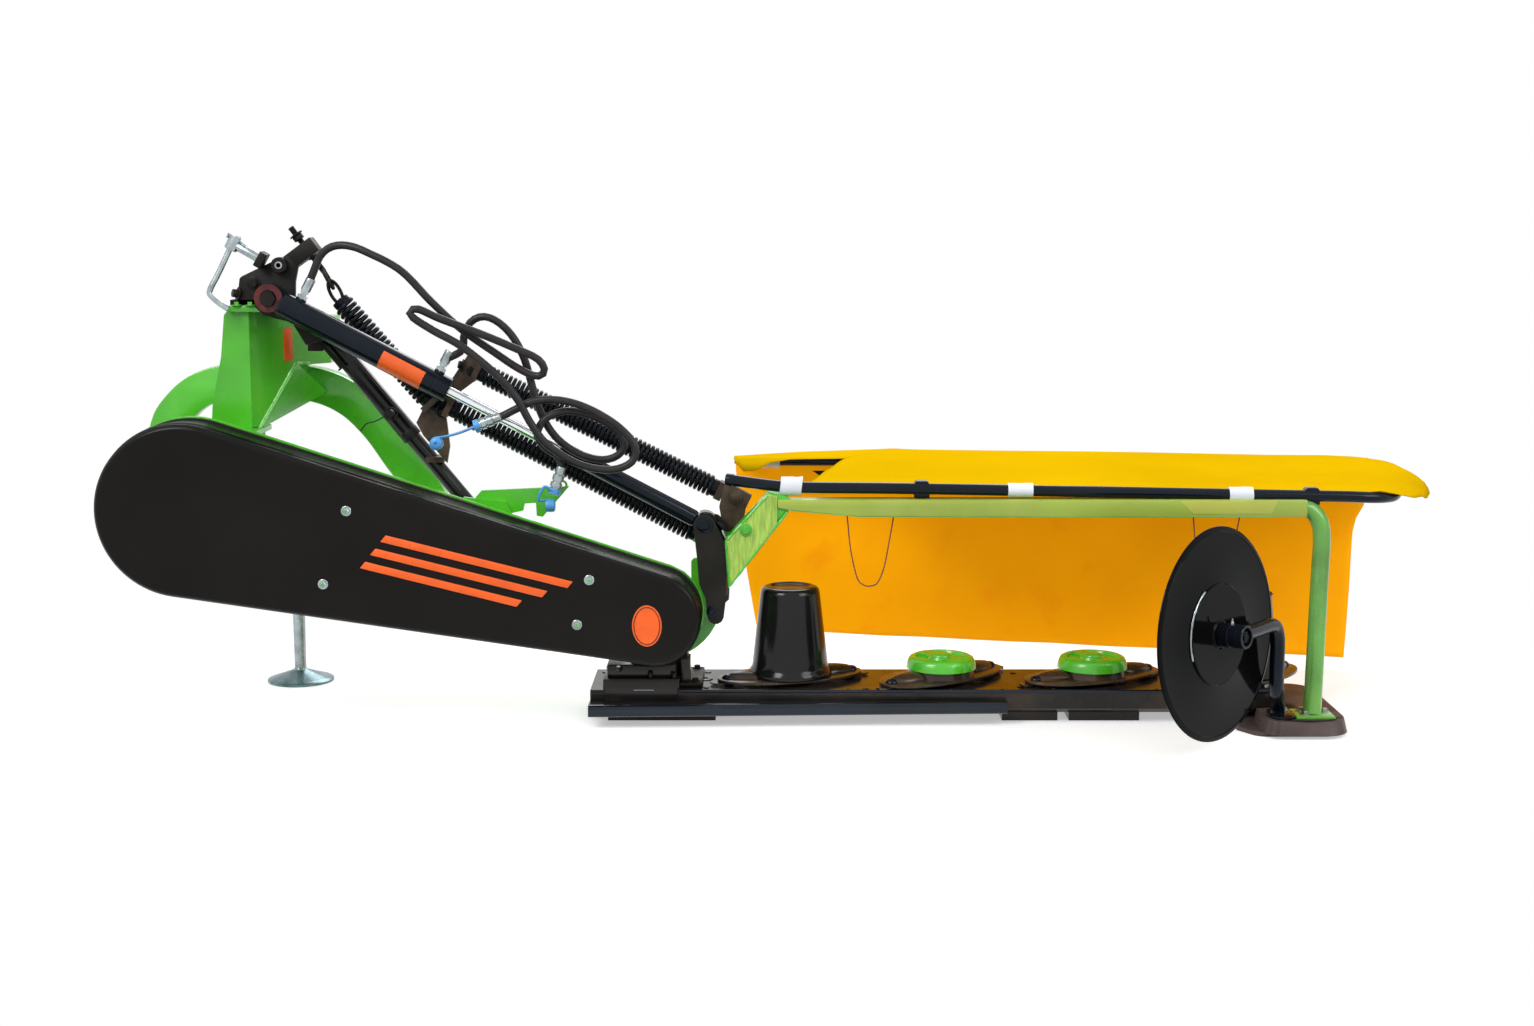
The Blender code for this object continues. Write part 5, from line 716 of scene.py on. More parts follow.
def bow_ribbon():
    """The bow's outline: a smooth centre line made 0.1 m wide."""
    line = [(-0.395, 0.42), (-0.375, 0.70), (-0.325, 0.80), (-0.235, 0.858), (-0.10, 0.870),
        (0.05, 0.862), (0.155, 0.820), (0.235, 0.745), (0.305, 0.645), (0.375, 0.545), (0.395, 0.42)]
    fine = smooth([(x, z, 0) for x, z in line], 8)
    left = []
    right = []
    for i, point in enumerate(fine):
        before = fine[max(i - 1, 0)]
        after = fine[min(i + 1, len(fine) - 1)]
        way = (after - before).normalized()
        side = Vector((-way.y, way.x, 0)) * 0.05
        left.append((point.x + side.x, point.y + side.y))
        right.append((point.x - side.x, point.y - side.y))
    return left + right[::-1]


def headstock():
    """The bow with its feet and pins, and what is fixed on the tower."""
    bow = Shape().prism(bow_ribbon(), "Y", 0.025, 0.085, 0.004)
    for side in (-1, 1):
        x = 0.395 * side
        bow.box((x - 0.056, x + 0.056), (0.025, 0.085), (0.40, 0.52), 0.004)
        bow.turned(((0, 0.183), (0.0113, 0.183), (0.0143, 0.179), (0.0143, 0.068), (0.024, 0.068),
            (0.024, 0.046), (0, 0.046)), (x, 0.055, 0.46), (side, 0, 0), 28)
    bow.box((-0.395, 0.395), (0.033, 0.077), (0.445, 0.505), 0.004)
    bow.turned(((0.0176, 0.40), (0.025, 0.40), (0.026, 0.401), (0.026, 0.559), (0.025, 0.56),
        (0.0176, 0.56), (0.0176, 0.40)), (0, 0, 0), steps=32)
    bow.box((-0.018, 0.018), (0.018, 0.037), (0.43, 0.53), 0.002)
    bow.done("bow_frame", "headstock", "green", replaces=("headstock_bow",), slot="green_paint")
    corners = [Vector(p) for p in ((0.061, -0.214, 0.942), (-0.023, -0.314, 0.774),
        (0.091, 0.0235, 0.843))]
    thick = (corners[1] - corners[0]).cross(corners[2] - corners[0]).normalized() * 0.008
    gusset = Shape()
    gusset.rings([corners, [p + thick for p in corners]])
    gusset.box((-0.084, 0.002), (-0.345, -0.327), (1.088, 1.1065), 0.003)
    for x in (-0.062, -0.026):
        gusset.bolt((x, -0.338, 1.106), UP, 0.011, 0.008)
    gusset.done("tower_gusset", "headstock", "green", slot="green_paint")
    weld = Shape()
    for start, end in (((0.062, -0.214, 0.942), (-0.0215, -0.315, 0.772)),
            ((0.066, -0.210, 0.942), (0.094, -0.177, 0.940))):
        weld.bead([Vector(start).lerp(Vector(end), i / 30) for i in range(31)], 0.0034, 0.0016, 70.0)
    weld.done("tower_welds", "headstock", "weld", angle=180)
    along = Vector((0.640, 0.768, 0))
    off = Vector((0.768, -0.640, 0))
    middle = Vector((-0.035, -0.33, 0.9945)) + along * 0.128 + off * 0.0003
    Shape().slab(middle, along, (0.030, 0.0012, 0.091), 0.0003, UP).done("tower_label", "headstock",
        "orange")


headstock()


def tower():
    """The bent-plate tower, narrower at its top, with its slanted right side."""
    near, far, bend = -0.33, 0.024, -0.035
    shape = Shape()
    shape.rings([[(left, near, z), (bend, near, z), (bend, far, z), (left, far, z)] for z,
        left in ((0.775, -0.146), (0.846, -0.140), (0.967, -0.113), (1.080, -0.101), (1.107, -0.078))])
    rings = []
    for x, low, high in ((bend - 0.010, 0.777, 1.106), (bend + 0.0015, 0.777, 1.106),
            (-0.020, 0.777, 1.106), (0.060, 0.935, 1.106), (0.073, 0.935, 1.106),
            (0.0732, 0.935, 1.0635), (0.140, 0.935, 1.0635)):
        front = max(near + 0.0040 - (x - bend + 0.010) * 0.2, near + (x - bend) * 1.2)
        step = max(front + 0.002, -0.200)
        rings.append([(x, front, low), (x, front, high), (x, step, high), (x, step + 0.001, 1.062),
            (x, far, 1.062), (x, far, low)])
    shape.rings(rings)
    soften(shape.done("tower_shell", "headstock", "green", replaces=("headstock_tower",),
        slot="green_paint"), 0.004, 3)


tower()


def bracket_plates():
    """The swing bracket's plates: its cheek, its arm with the adjuster's block, its seats."""
    king = (-0.045, -0.265)
    low = 1.1073
    shape = Shape()
    hole = [(king[0] + 0.0176 * math.cos(a), king[1] + 0.0176 * math.sin(a))
        for a in (math.radians(89 - 358 * k / 40) for k in range(41))]
    shape.prism([(king[0] - 0.034, CHEEK_FACE), (0.10, CHEEK_FACE), (0.10, king[1] + 0.034),
        (king[0] + 0.0003, king[1] + 0.034)] + hole + [(king[0] - 0.0003, king[1] + 0.034),
        (king[0] - 0.034, king[1] + 0.034)], "Z", low, low + 0.014)
    shape.prism([(-0.062, low), (-0.052, 1.178), (-0.046, 1.184), (0.043, 1.226), (0.080, 1.240),
        (0.106, 1.211), (0.097, 1.170), (0.095, 1.125), (0.125, 1.095), (0.165, 1.060), (0.175, 1.015),
        (0.120, 1.000), (0.085, 1.060), (0.010, 1.080), (-0.020, low)], "Y", CHEEK_FACE, -0.330, 0.0015)
    shape.slab(Vector((0.112, -0.318, 1.243)), (0.589, 0, -0.808), (0.0425, 0.052, 0.095), 0.003)
    shape.slab(Vector((0.014, -0.366, 1.2285)), (0.87, 0, -0.50), (0.020, 0.048, 0.042), 0.002)
    shape.box((0.120, 0.172), (-0.3415, -0.228), (1.018, 1.034), 0.002)
    for radius, length, y, sides in ((0.021, 0.008, -0.412, 6), (0.013, 0.069, -0.404, 24)):
        shape.turned(pin(radius, 0, length), at_y(LIFT_TOP, y), (0, 1, 0), sides)
    shape.done("bracket_plates", "swing_frame", "satin", replaces=("swing_bracket",),
        slot="black_paint")


bracket_plates()


def bracket():
    """What is on the swing bracket: bolts, the adjuster with its hooks, and the top-link pin."""
    dark = Shape().turned(((0.0095, 0.0), (0.020, 0.0), (0.021, 0.003), (0.021, 0.026),
        (0.0195, 0.0285), (0.0095, 0.0285), (0.0095, 0.0)), (0.060, CHEEK_FACE, 1.2145), FRONT, 32)
    dark.bolt((-0.013, CHEEK_FACE, 1.166), FRONT, 0.0125, 0.012)
    dark.bolt((-0.058, -0.340, 1.137), (-0.8, -0.5, 0.2), 0.0125, 0.014)
    dark.box((0.116, 0.156), (-0.305, -0.285), (0.981, 1.017), 0.002)
    dark.tube([(0.157, -0.300, 0.996), (0.206, -0.300, 0.935)], 0.0055, 12)
    dark.turned(pin(0.0115, 0, 0.004), (0.204, -0.300, 0.937), (0.63, 0, -0.78), 24)
    dark.done("bracket_bolts", "swing_frame", "satin")
    ring = Shape().turned(((0.0062, 0.0), (0.0105, 0.0), (0.0110, 0.001), (0.0100, 0.003),
        (0.0062, 0.003), (0.0062, 0.0)), (0.060, CHEEK_FACE - 0.027, 1.2145), FRONT, 28)
    ring.done("bracket_ring", "swing_frame", "steel")
    start = Vector((0.079, SPRING_Y, 1.312))
    way = Vector((0.59, 0, -0.81)).normalized()
    rod = Shape().screw_thread(start + way * 0.002, start + way * 0.145, 0.0085, 0.003)
    rod.turned(((0, -0.001), (0.0075, -0.001), (0.0085, 0.001), (0.0085, 0.004), (0, 0.004)), start,
        way, 16)
    for low in (0.0252, 0.0848):
        rod.turned(pin(0.0155, 0, 0.0145, 0.002), start + way * low, way, 6)
    rod.turned(pin(0.019, 0.0215, 0.0247), start, way, 24)
    end = start + way * 0.145
    lug = Vector((0.205, SPRING_Y, 1.118))
    for centre, reach, side in ((end.lerp(lug, 0.24), 0.030, Vector((0, 1, 0))),
            (end.lerp(lug, 0.72), 0.034, way.cross(Vector((0, 1, 0))))):
        line = (lug - end).normalized()
        loop = [centre + line * (reach * math.cos(a)) + side * (0.014 * math.sin(a))
            for a in angles(24)]
        rod.tube(loop, 0.0048, 10, closed=True)
    rod.done("adjuster_rod", "swing_frame", "satin", replaces=("spring_adjuster",))
    y = TOP_PIN_Y
    pin_top = Vector((-0.060, y, 1.272))
    pin_way = Vector((0.87, 0, -0.50)).normalized()
    arm_way = Vector((-0.459, 0, -0.889)).normalized()
    shape = Shape().turned(((0, -0.002), (0.0115, -0.002), (0.0125, 0.0), (0.0125, 0.084),
        (0.0105, 0.086), (0, 0.086)), pin_top, pin_way, 28)
    shape.turned(((0, -0.018), (0.0165, -0.018), (0.0178, -0.0165), (0.0178, 0.0165), (0.0165, 0.018),
        (0, 0.018)), pin_top - arm_way * 0.001 + pin_way * 0.002, arm_way, 28)
    shape.tube(smooth([pin_top + arm_way * 0.015, (-0.098, y - 0.005, 1.195),
        (-0.122, y - 0.009, 1.150), (-0.120, y - 0.010, 1.134), (-0.100, y - 0.009, 1.115),
        (-0.076, y - 0.008, 1.098)], 5), 0.0078, 14)
    shape.tube([pin_top + Vector(p) for p in ((-0.012, -0.004, 0.016), (-0.008, -0.006, 0.026),
        (0.002, -0.004, 0.018), (0.022, -0.006, 0.006), (0.036, -0.012, -0.006))], 0.0036, 8)
    shape.turned(((0, 0), (0.007, 0), (0.0075, 0.004), (0.004, 0.008), (0, 0.008)),
        pin_top + Vector((0.016, -0.004, 0.012)), (0.4, -0.2, 0.9), 16)
    shape.done("top_pin_body", "top_pin", "zinc", replaces=("top_link_pin",), slot="zinc")


bracket()


def strut_details():
    """The strut's clip and collar, the anchor's bolts and hooks, and the transport hook's eye."""
    top = Vector((0.150, -0.258, 1.033))
    step = Vector((0.372, -0.258, 0.759))
    way = (step - top).normalized()
    pin_at = step - way * 0.065
    shape = Shape().turned(((0, 0.030), (0.0135, 0.030), (0.0145, 0.034), (0.012, 0.046), (0, 0.047)),
        pin_at, FRONT, 20)
    loop = [pin_at + Vector((0.004 + 0.017 * math.cos(a), -0.041, 0.017 * math.sin(a)))
        for a in angles(28)]
    shape.tube(loop, 0.0017, 8, closed=True)
    shape.tube(smooth([pin_at + Vector(p) for p in ((-0.012, -0.041, -0.006), (-0.040, -0.043, -0.020),
        (-0.062, -0.043, -0.026), (-0.080, -0.041, -0.046))], 5), 0.0017, 8)
    shape.turned(((0.0225, -0.014), (0.0265, -0.014), (0.0275, -0.012), (0.0275, 0.010),
        (0.0265, 0.012), (0.0225, 0.012), (0.0225, -0.014)), step + way * 0.012, way, 32)
    shape.bolt((0.531, -0.286, 0.941), (-0.9, -0.25, 0.25), 0.012, 0.010)
    shape.bolt((0.557, -0.288, 0.925), (0.2, -1, 0.1), 0.010, 0.008)
    shape.done("strut_clip", "swing_frame", "satin")
    hooks = Shape()
    for x, z, tilt in ((0.462, 0.838, 0.0), (0.478, 0.822, 0.6), (0.448, 0.846, -0.5)):
        side = Vector((math.cos(tilt), 0.35, math.sin(tilt))).normalized()
        up = side.cross(Vector((0, 1, 0))).normalized()
        centre = Vector((x, -0.302, z))
        hooks.tube([centre + side * (0.019 * math.cos(a)) + up * (0.016 * math.sin(a))
            for a in angles(22)], 0.0045, 10, closed=True)
    hooks.done("spring_hooks", "swing_frame", "spring", slot="spring_steel")
    eye = Shape().tube([(0.811 + 0.0105 * math.cos(a), -0.4225, 0.632 + 0.0105 * math.sin(a))
        for a in angles(26)], 0.0032, 10, closed=True)
    eye.done("hook_eye", "hook", "green")


strut_details()


def stand():
    """The stand's round leg and its dished foot."""
    leg = Shape().turned(((0, 0.60), (0.0155, 0.60), (0.017, 0.598), (0.017, 0.040), (0.019, 0.036),
        (0.022, 0.0335), (0, 0.0335)), (0, 0, 0), steps=36)
    leg.done("stand_tube", "stand", "zinc", replaces=("stand_leg",), slot="zinc")
    foot = Shape().turned(((0, 0.034), (0.021, 0.034), (0.026, 0.031), (0.050, 0.0225), (0.078, 0.0125),
        (0.092, 0.0085), (0.095, 0.006), (0.095, 0.001), (0.094, 0.0), (0, 0.0)), (0, 0, 0), steps=56)
    foot.done("stand_foot", "stand", "foot")


stand()


def gearbox():
    """The gearbox's housing, drawn in at its top, on its flange."""
    shape = Shape()
    outline = [(0.985, 0.0916), (0.985, 0.318)] + arc((1.064, 0.306), 0.0675, 165, 15,
        14) + [(1.143, 0.318), (1.143, 0.0916)]
    shape.prism(outline, "Y", -0.4296, -0.3180, 0.004)
    shape.box((0.925, 1.185), (-0.480, -0.280), (0.0916, 0.1036), 0.003)
    shape.turned(((0.0163, -0.522), (0.044, -0.522), (0.045, -0.521), (0.045, -0.4196),
        (0.0163, -0.4196), (0.0163, -0.522)), (1.064, 0, 0.309), (0, 1, 0), 40)
    for x in (0.948, 1.165):
        for y in (-0.455, -0.300):
            shape.bolt((x, y, 0.1036), (0, 0, 1), 0.0085, 0.007)
    shape.done("gearbox_case", "cutter_bar", "satin", replaces=("gearbox_housing",), slot="black_paint")


gearbox()


# Belt cover

COVER_Y = -0.658
COVER_BACK = -0.518


def belt_cover():
    """The pressed cover with its lip, wall, bead and rounded face, and what is on that face."""
    big, small = 0.229, 0.124
    steps = ((0.0, COVER_BACK), (0.0, COVER_BACK - 0.012), (-0.0045, COVER_BACK - 0.017),
        (-0.0045, COVER_BACK - 0.096), (-0.0005, COVER_BACK - 0.101), (-0.0005, COVER_BACK - 0.108),
        (-0.0045, COVER_BACK - 0.113))
    profile = list(steps)
    for i in range(7):
        angle = math.radians(90 * i / 6)
        profile.append((-0.0045 - 0.014 * (1 - math.cos(angle)), COVER_Y + 0.014
            * (1 - math.sin(angle))))
    profile.append((-0.024, COVER_Y))
    inner = [(-0.024, COVER_Y + 0.003), (-0.0075, COVER_Y + 0.017), (-0.0075, COVER_BACK)]
    rings = []
    for grow, y in profile + inner:
        rings.append([(x, y, z) for x, z in teardrop(big + grow, small + grow)])
    shape = Shape()
    made = shape.rings(rings[:len(profile)], caps=(False, True))
    hidden = shape.rings(rings[len(profile):], caps=(True, False))
    lip = list(zip(made[0], hidden[-1]))
    for i in range(len(lip)):
        a, b = lip[i]
        c, d = lip[(i + 1) % len(lip)]
        shape.bm.faces.new((a, c, d, b))
    shape.done("cover_shell", "swing_frame", "cover", replaces=("belt_cover",), slot="black_paint",
        angle=40)
    nuts = Shape()
    centres = Shape()
    for x, z in ((0.277, 0.597), (0.212, 0.406), (0.899, 0.417), (0.866, 0.299)):
        nuts.bolt((x, COVER_Y, z), FRONT, 0.0088, 0.0062)
        centres.turned(((0, 0.0), (0.0045, 0.0), (0.0045, 0.0095), (0.0035, 0.0102), (0, 0.0102)),
            (x, COVER_Y, z), FRONT, 14)
    nuts.done("cover_nuts", "swing_frame", "zinc", slot="zinc")
    centres.done("cover_studs", "swing_frame", "green")
    stripes = Shape()
    lean = Vector((0.93, 0, -0.235)).normalized()
    rise = Vector((-lean.z, 0, lean.x))
    base = Vector((0.318, COVER_Y, 0.487))
    for i, (length, thick) in enumerate(((0.415, 0.020), (0.455, 0.020), (0.495, 0.020))):
        low = base + rise * (-0.040 + 0.040 * i) + lean * (0.018 * i)
        corners = [low, low + lean * length, low + lean * (length + 0.010) + rise * thick,
            low + lean * 0.010 + rise * thick]
        stripes.prism([(c.x, c.z) for c in corners], "Y", COVER_Y - 0.004, COVER_Y + 0.001, 0.0018, 3)
    stripes.done("cover_stripes", "swing_frame", "orange")
    rim = Shape()
    for grow, y in ((-0.0135, COVER_Y + 0.0022), (-0.0050, COVER_Y + 0.0105)):
        line = teardrop(big + grow, small + grow)
        rim.tube([(x, y, z) for x, z in line], 0.0011, 6, closed=True)
    rim.done("cover_edge_lines", "swing_frame", "barrel")
    centre = Vector((1.047, COVER_Y, 0.296))
    outline = [(centre.x + 0.0385 * math.cos(a), centre.z + 0.0545 * math.sin(a)) for a in angles(40)]
    oval = Shape().prism(outline, "Y", COVER_Y - 0.0012, COVER_Y + 0.0005, 0.0004, 1)
    oval.done("cover_oval", "swing_frame", "orange")
    ring = Shape().tube([(centre.x + 0.0335 * math.cos(a), COVER_Y - 0.0012,
        centre.z + 0.0490 * math.sin(a)) for a in angles(48)], 0.0014, 6, closed=True)
    ring.done("cover_oval_line", "swing_frame", "ink")


belt_cover()


# Link, guard arm, beam and leg

def along_table(table, value):
    """A value between the rows of a table, in straight lines."""
    if value <= table[0][0]:
        return table[0][1]
    for (a, low), (b, high) in zip(table, table[1:]):
        if value <= b:
            t = (value - a) / (b - a)
            return low + (high - low) * t
    return table[-1][1]


TUBE_HEIGHTS = ((1.247, 0.652), (1.313, 0.644), (1.392, 0.636), (1.460, 0.633), (1.763, 0.630),
    (2.452, 0.617), (2.877, 0.610))


def tube_height(x):
    """The height of the guard tube's middle along its near side."""
    return along_table(TUBE_HEIGHTS, x)


def link_and_arm():
    """Details of the link and the arm, the beam with its leg, and the guard tube's lugs."""
    dark = Shape()
    dark.bolt((1.190, -0.4131, 0.5235), FRONT, 0.0150, 0.009)
    dark.bolt((1.2095, -0.4131, 0.285), FRONT, 0.0105, 0.007)
    dark.done("link_bolts", "cutter_bar", "barrel")
    Shape().box((1.2475, 1.2535), (-0.4135, -0.3465), (0.330, 0.470), 0.001).done("link_edge",
        "cutter_bar", "brown")
    plate = Shape().turned(((0, 0), (0.019, 0), (0.0195, 0.003), (0.018, 0.0055), (0.013, 0.006),
        (0.012, 0.009), (0.0095, 0.0105), (0, 0.0105)), (1.2715, -0.3345, 0.5865), FRONT, 28)
    plate.done("bracket_bolt", "cutter_bar", "brown")
    outline = [(1.2490, 0.493), (1.361, 0.618), (1.413, 0.607), (1.413, 0.570), (1.258, 0.370)]
    middle = Vector((1.335, 0.540))
    rim = Shape().prism([tuple(middle + (Vector(p) - middle) * 1.035) for p in outline], "Y", -0.500,
        -0.424, 0.002)
    for start, end in (((1.2585, 0.373), (1.412, 0.571)), ((1.2505, 0.491), (1.2585, 0.373)),
            ((1.2505, 0.494), (1.359, 0.615))):
        points = [Vector(start).lerp(Vector(end), i / 24) for i in range(25)]
        rim.tube([at_y(p, -0.5065) for p in points], [0.0034 + 0.0014 * noise.noise(at_y(p * 60.0, 0.0))
            for p in points], 8)
    rim.bolt((1.302, -0.508, 0.5235), FRONT, 0.0115, 0.008)
    rim.done("arm_rim", "cutter_bar", "green", slot="green_paint")
    beam = Shape().prism([(1.386, 0.603), (2.785, 0.603), (2.785, 0.558), (1.66, 0.558), (1.60, 0.5592),
        (1.42, 0.5755), (1.386, 0.582)], "Y", -0.508, -0.448, 0.003)
    beam.done("beam_box", "cutter_bar", "beam", replaces=("guard_beam",), slot="green_paint")
    Shape().prism([(1.42, 0.5745), (1.60, 0.5580), (2.70, 0.5570), (2.70, 0.5600), (1.60, 0.5615),
        (1.42, 0.578)], "Y", -0.5086, -0.450, 0.0006).done("beam_lower_edge", "cutter_bar", "leg")
    Shape().prism([(2.445, 0.602), (2.485, 0.567), (2.690, 0.567), (2.705, 0.602)], "Y", -0.5087,
        -0.5075, 0.0004).done("beam_panel", "cutter_bar", "panel")
    leg = Shape().tube(smooth([(2.690, -0.480, 0.578), (2.70, -0.480, 0.579), (2.76, -0.478, 0.5805),
        (2.800, -0.479, 0.572), (2.824, -0.484, 0.540), (2.829, -0.493, 0.490), (2.822, -0.512, 0.400),
        (2.806, -0.562, 0.220), (2.790, -0.612, 0.049)], 6), 0.0235, 28)
    leg.box((2.740, 2.842), (-0.652, -0.562), PAD_Z, 0.002)
    leg.done("leg_tube", "cutter_bar", "leg", slot="green_paint")
    bolts = Shape()
    for x, y, radius, height in ((2.769, -0.622, 0.009, 0.007), (2.826, -0.590, 0.009, 0.007),
            (2.768, -0.582, 0.009, 0.007), (2.717, -0.577, 0.0105, 0.009)):
        bolts.bolt((x, y, PAD_Z[1]), UP, radius, height)
    bolts.done("foot_bolts", "cutter_bar", "zinc", slot="zinc")
    lugs = Shape()
    for x in (1.768, 2.802):
        z = tube_height(x)
        lugs.prism([(x - 0.024, z + 0.0095), (x - 0.015, z + 0.0215), (x + 0.014, z + 0.0215),
            (x + 0.022, z + 0.0095), (x + 0.020, z - 0.024), (x - 0.020, z - 0.024)], "Y", -0.4875,
            -0.458, 0.0015)
    lugs.done("tube_lugs", "cutter_bar", "barrel")


link_and_arm()


# Cutter bar, discs, cones, caps, shoe and swath disc

def dome(shape, outline, base, rise):
    """A low rounded swelling on an outline."""
    steps = 5
    count = len(outline)
    mid = Vector((sum(p[0] for p in outline) / count, sum(p[1] for p in outline) / count))
    rings = [[(x, y, base - 0.001) for x, y in outline]]
    for k in range(steps + 1):
        angle = math.radians(84 * k / steps)
        share = math.cos(angle)
        rings.append([(mid.x + (x - mid.x) * share, mid.y + (y - mid.y) * share,
            base + rise * math.sin(angle)) for x, y in outline])
    shape.rings(rings)


def discs():
    """The oval discs with raised wings and domed knife bolts, their cones and caps."""
    for number, (x, angle) in enumerate(zip(DISC_X, DISC_ANGLES), 1):
        turn = Matrix.Rotation(math.radians(angle), 2)

        def spot(along, across=0.0):
            """A place on the disc, from lengths along it and across it."""
            return turn @ Vector((along, across)) + Vector((x, BAR_Y))

        rotor = f"disc_rotor_{number}"
        axle = (x, BAR_Y, 0)
        edge = [spot(DISC_LONG * math.cos(t), DISC_SHORT * math.sin(t)) for t in angles(80)]
        shape = Shape().prism(edge, "Z", 0.0993, DISC_TOP, 0.0022, 3)
        shape.turned(((0, 0.066), (0.0135, 0.066), (0.0135, 0.0925), (0.040, 0.0925), (0.040, 0.0998),
            (0, 0.0998)), axle, steps=32)
        for side in (1, -1):
            wing = [tuple(spot(side * (0.120 + 0.068 * math.cos(t)), (0.030 - 0.010 * math.cos(t))
                * math.sin(t) * 1.25)) for t in angles(36)]
            dome(shape, wing, DISC_TOP, 0.0200)
            place = spot(side * 0.175)
            shape.turned(((0, 0.0917), (0.012, 0.0917), (0.012, 0.0945), (0.0075, 0.0945),
                (0.0075, 0.100), (0, 0.100)), (*place, 0), steps=20)
        shape.done(f"disc_plate_{number}", rotor, "disc", replaces=(f"disc_{number}",),
            slot="brown_plate")
        bolts = Shape()
        for side in (1, -1):
            bolts.turned(((0, 0.106), (0.0175, 0.106), (0.018, 0.109), (0.0165, 0.1125),
                (0.012, 0.1165), (0.006, 0.1185), (0, 0.119)), (*spot(side * 0.176), 0), steps=28)
        bolts.done(f"knife_bolts_{number}", rotor, "barrel")
        if number in (1, 4):
            top, foot, height = (0.080, 0.103, 0.352) if number == 1 else (0.070, 0.090, 0.331)
            crown = ((-0.031, 0.005), (-0.028, 0.004), (-0.025, 0.0005), (-0.021, 0), (-0.013, 0.001),
                (-0.006, 0.004), (-0.0015, 0.010), (0.0005, 0.018))
            brim = ((-0.0015, 0.150), (0, 0.135), (0.0035, 0.127), (0.010, 0.119), (0.0105, 0.110),
                (0.009, 0.1078), (-0.004, 0.1078), (-0.004, 0.127))
            cone = Shape().turned([(0, height - 0.005), *[(top + r, height - z) for r, z in crown],
                *[(foot + r, z) for r, z in brim], (top - 0.010, height - 0.020), (0, height - 0.020)],
                axle, steps=72)
            cone.done(f"cone_{number}", rotor, "black", replaces=(f"disc_{number}_cone",),
                slot="black_paint", angle=50)
        else:
            hub = Shape().turned(((0, 0.1065), (0.0915, 0.1065), (0.0900, 0.112), (0.0865, 0.129),
                (0, 0.129)), axle, steps=64)
            hub.done(f"disc_hub_{number}", rotor, "disc", slot="brown_plate")
            cap = Shape().turned(((0, 0.1645), (0.020, 0.1645), (0.0245, 0.163), (0.0265, 0.158),
                (0.0345, 0.1575), (0.0375, 0.151), (0.0665, 0.1505), (0.0705, 0.1572), (0.080, 0.1575),
                (0.0865, 0.154), (0.0905, 0.147), (0.0935, 0.138), (0.095, 0.1265), (0.0905, 0.1255),
                (0.0845, 0.129), (0.083, 0.144), (0, 0.144)), axle, steps=64)
            for side in (1, -1):
                place = spot(0.0, side * 0.052)
                cap.slab((*place, 0.1528), (math.cos(math.radians(angle)),
                    math.sin(math.radians(angle)), 0), (0.046, 0.040, 0.010), 0.002, (0, 0, 1))
            cap.done(f"cap_{number}", rotor, "green", replaces=(f"disc_{number}_cap",),
                slot="green_paint", angle=50)


discs()


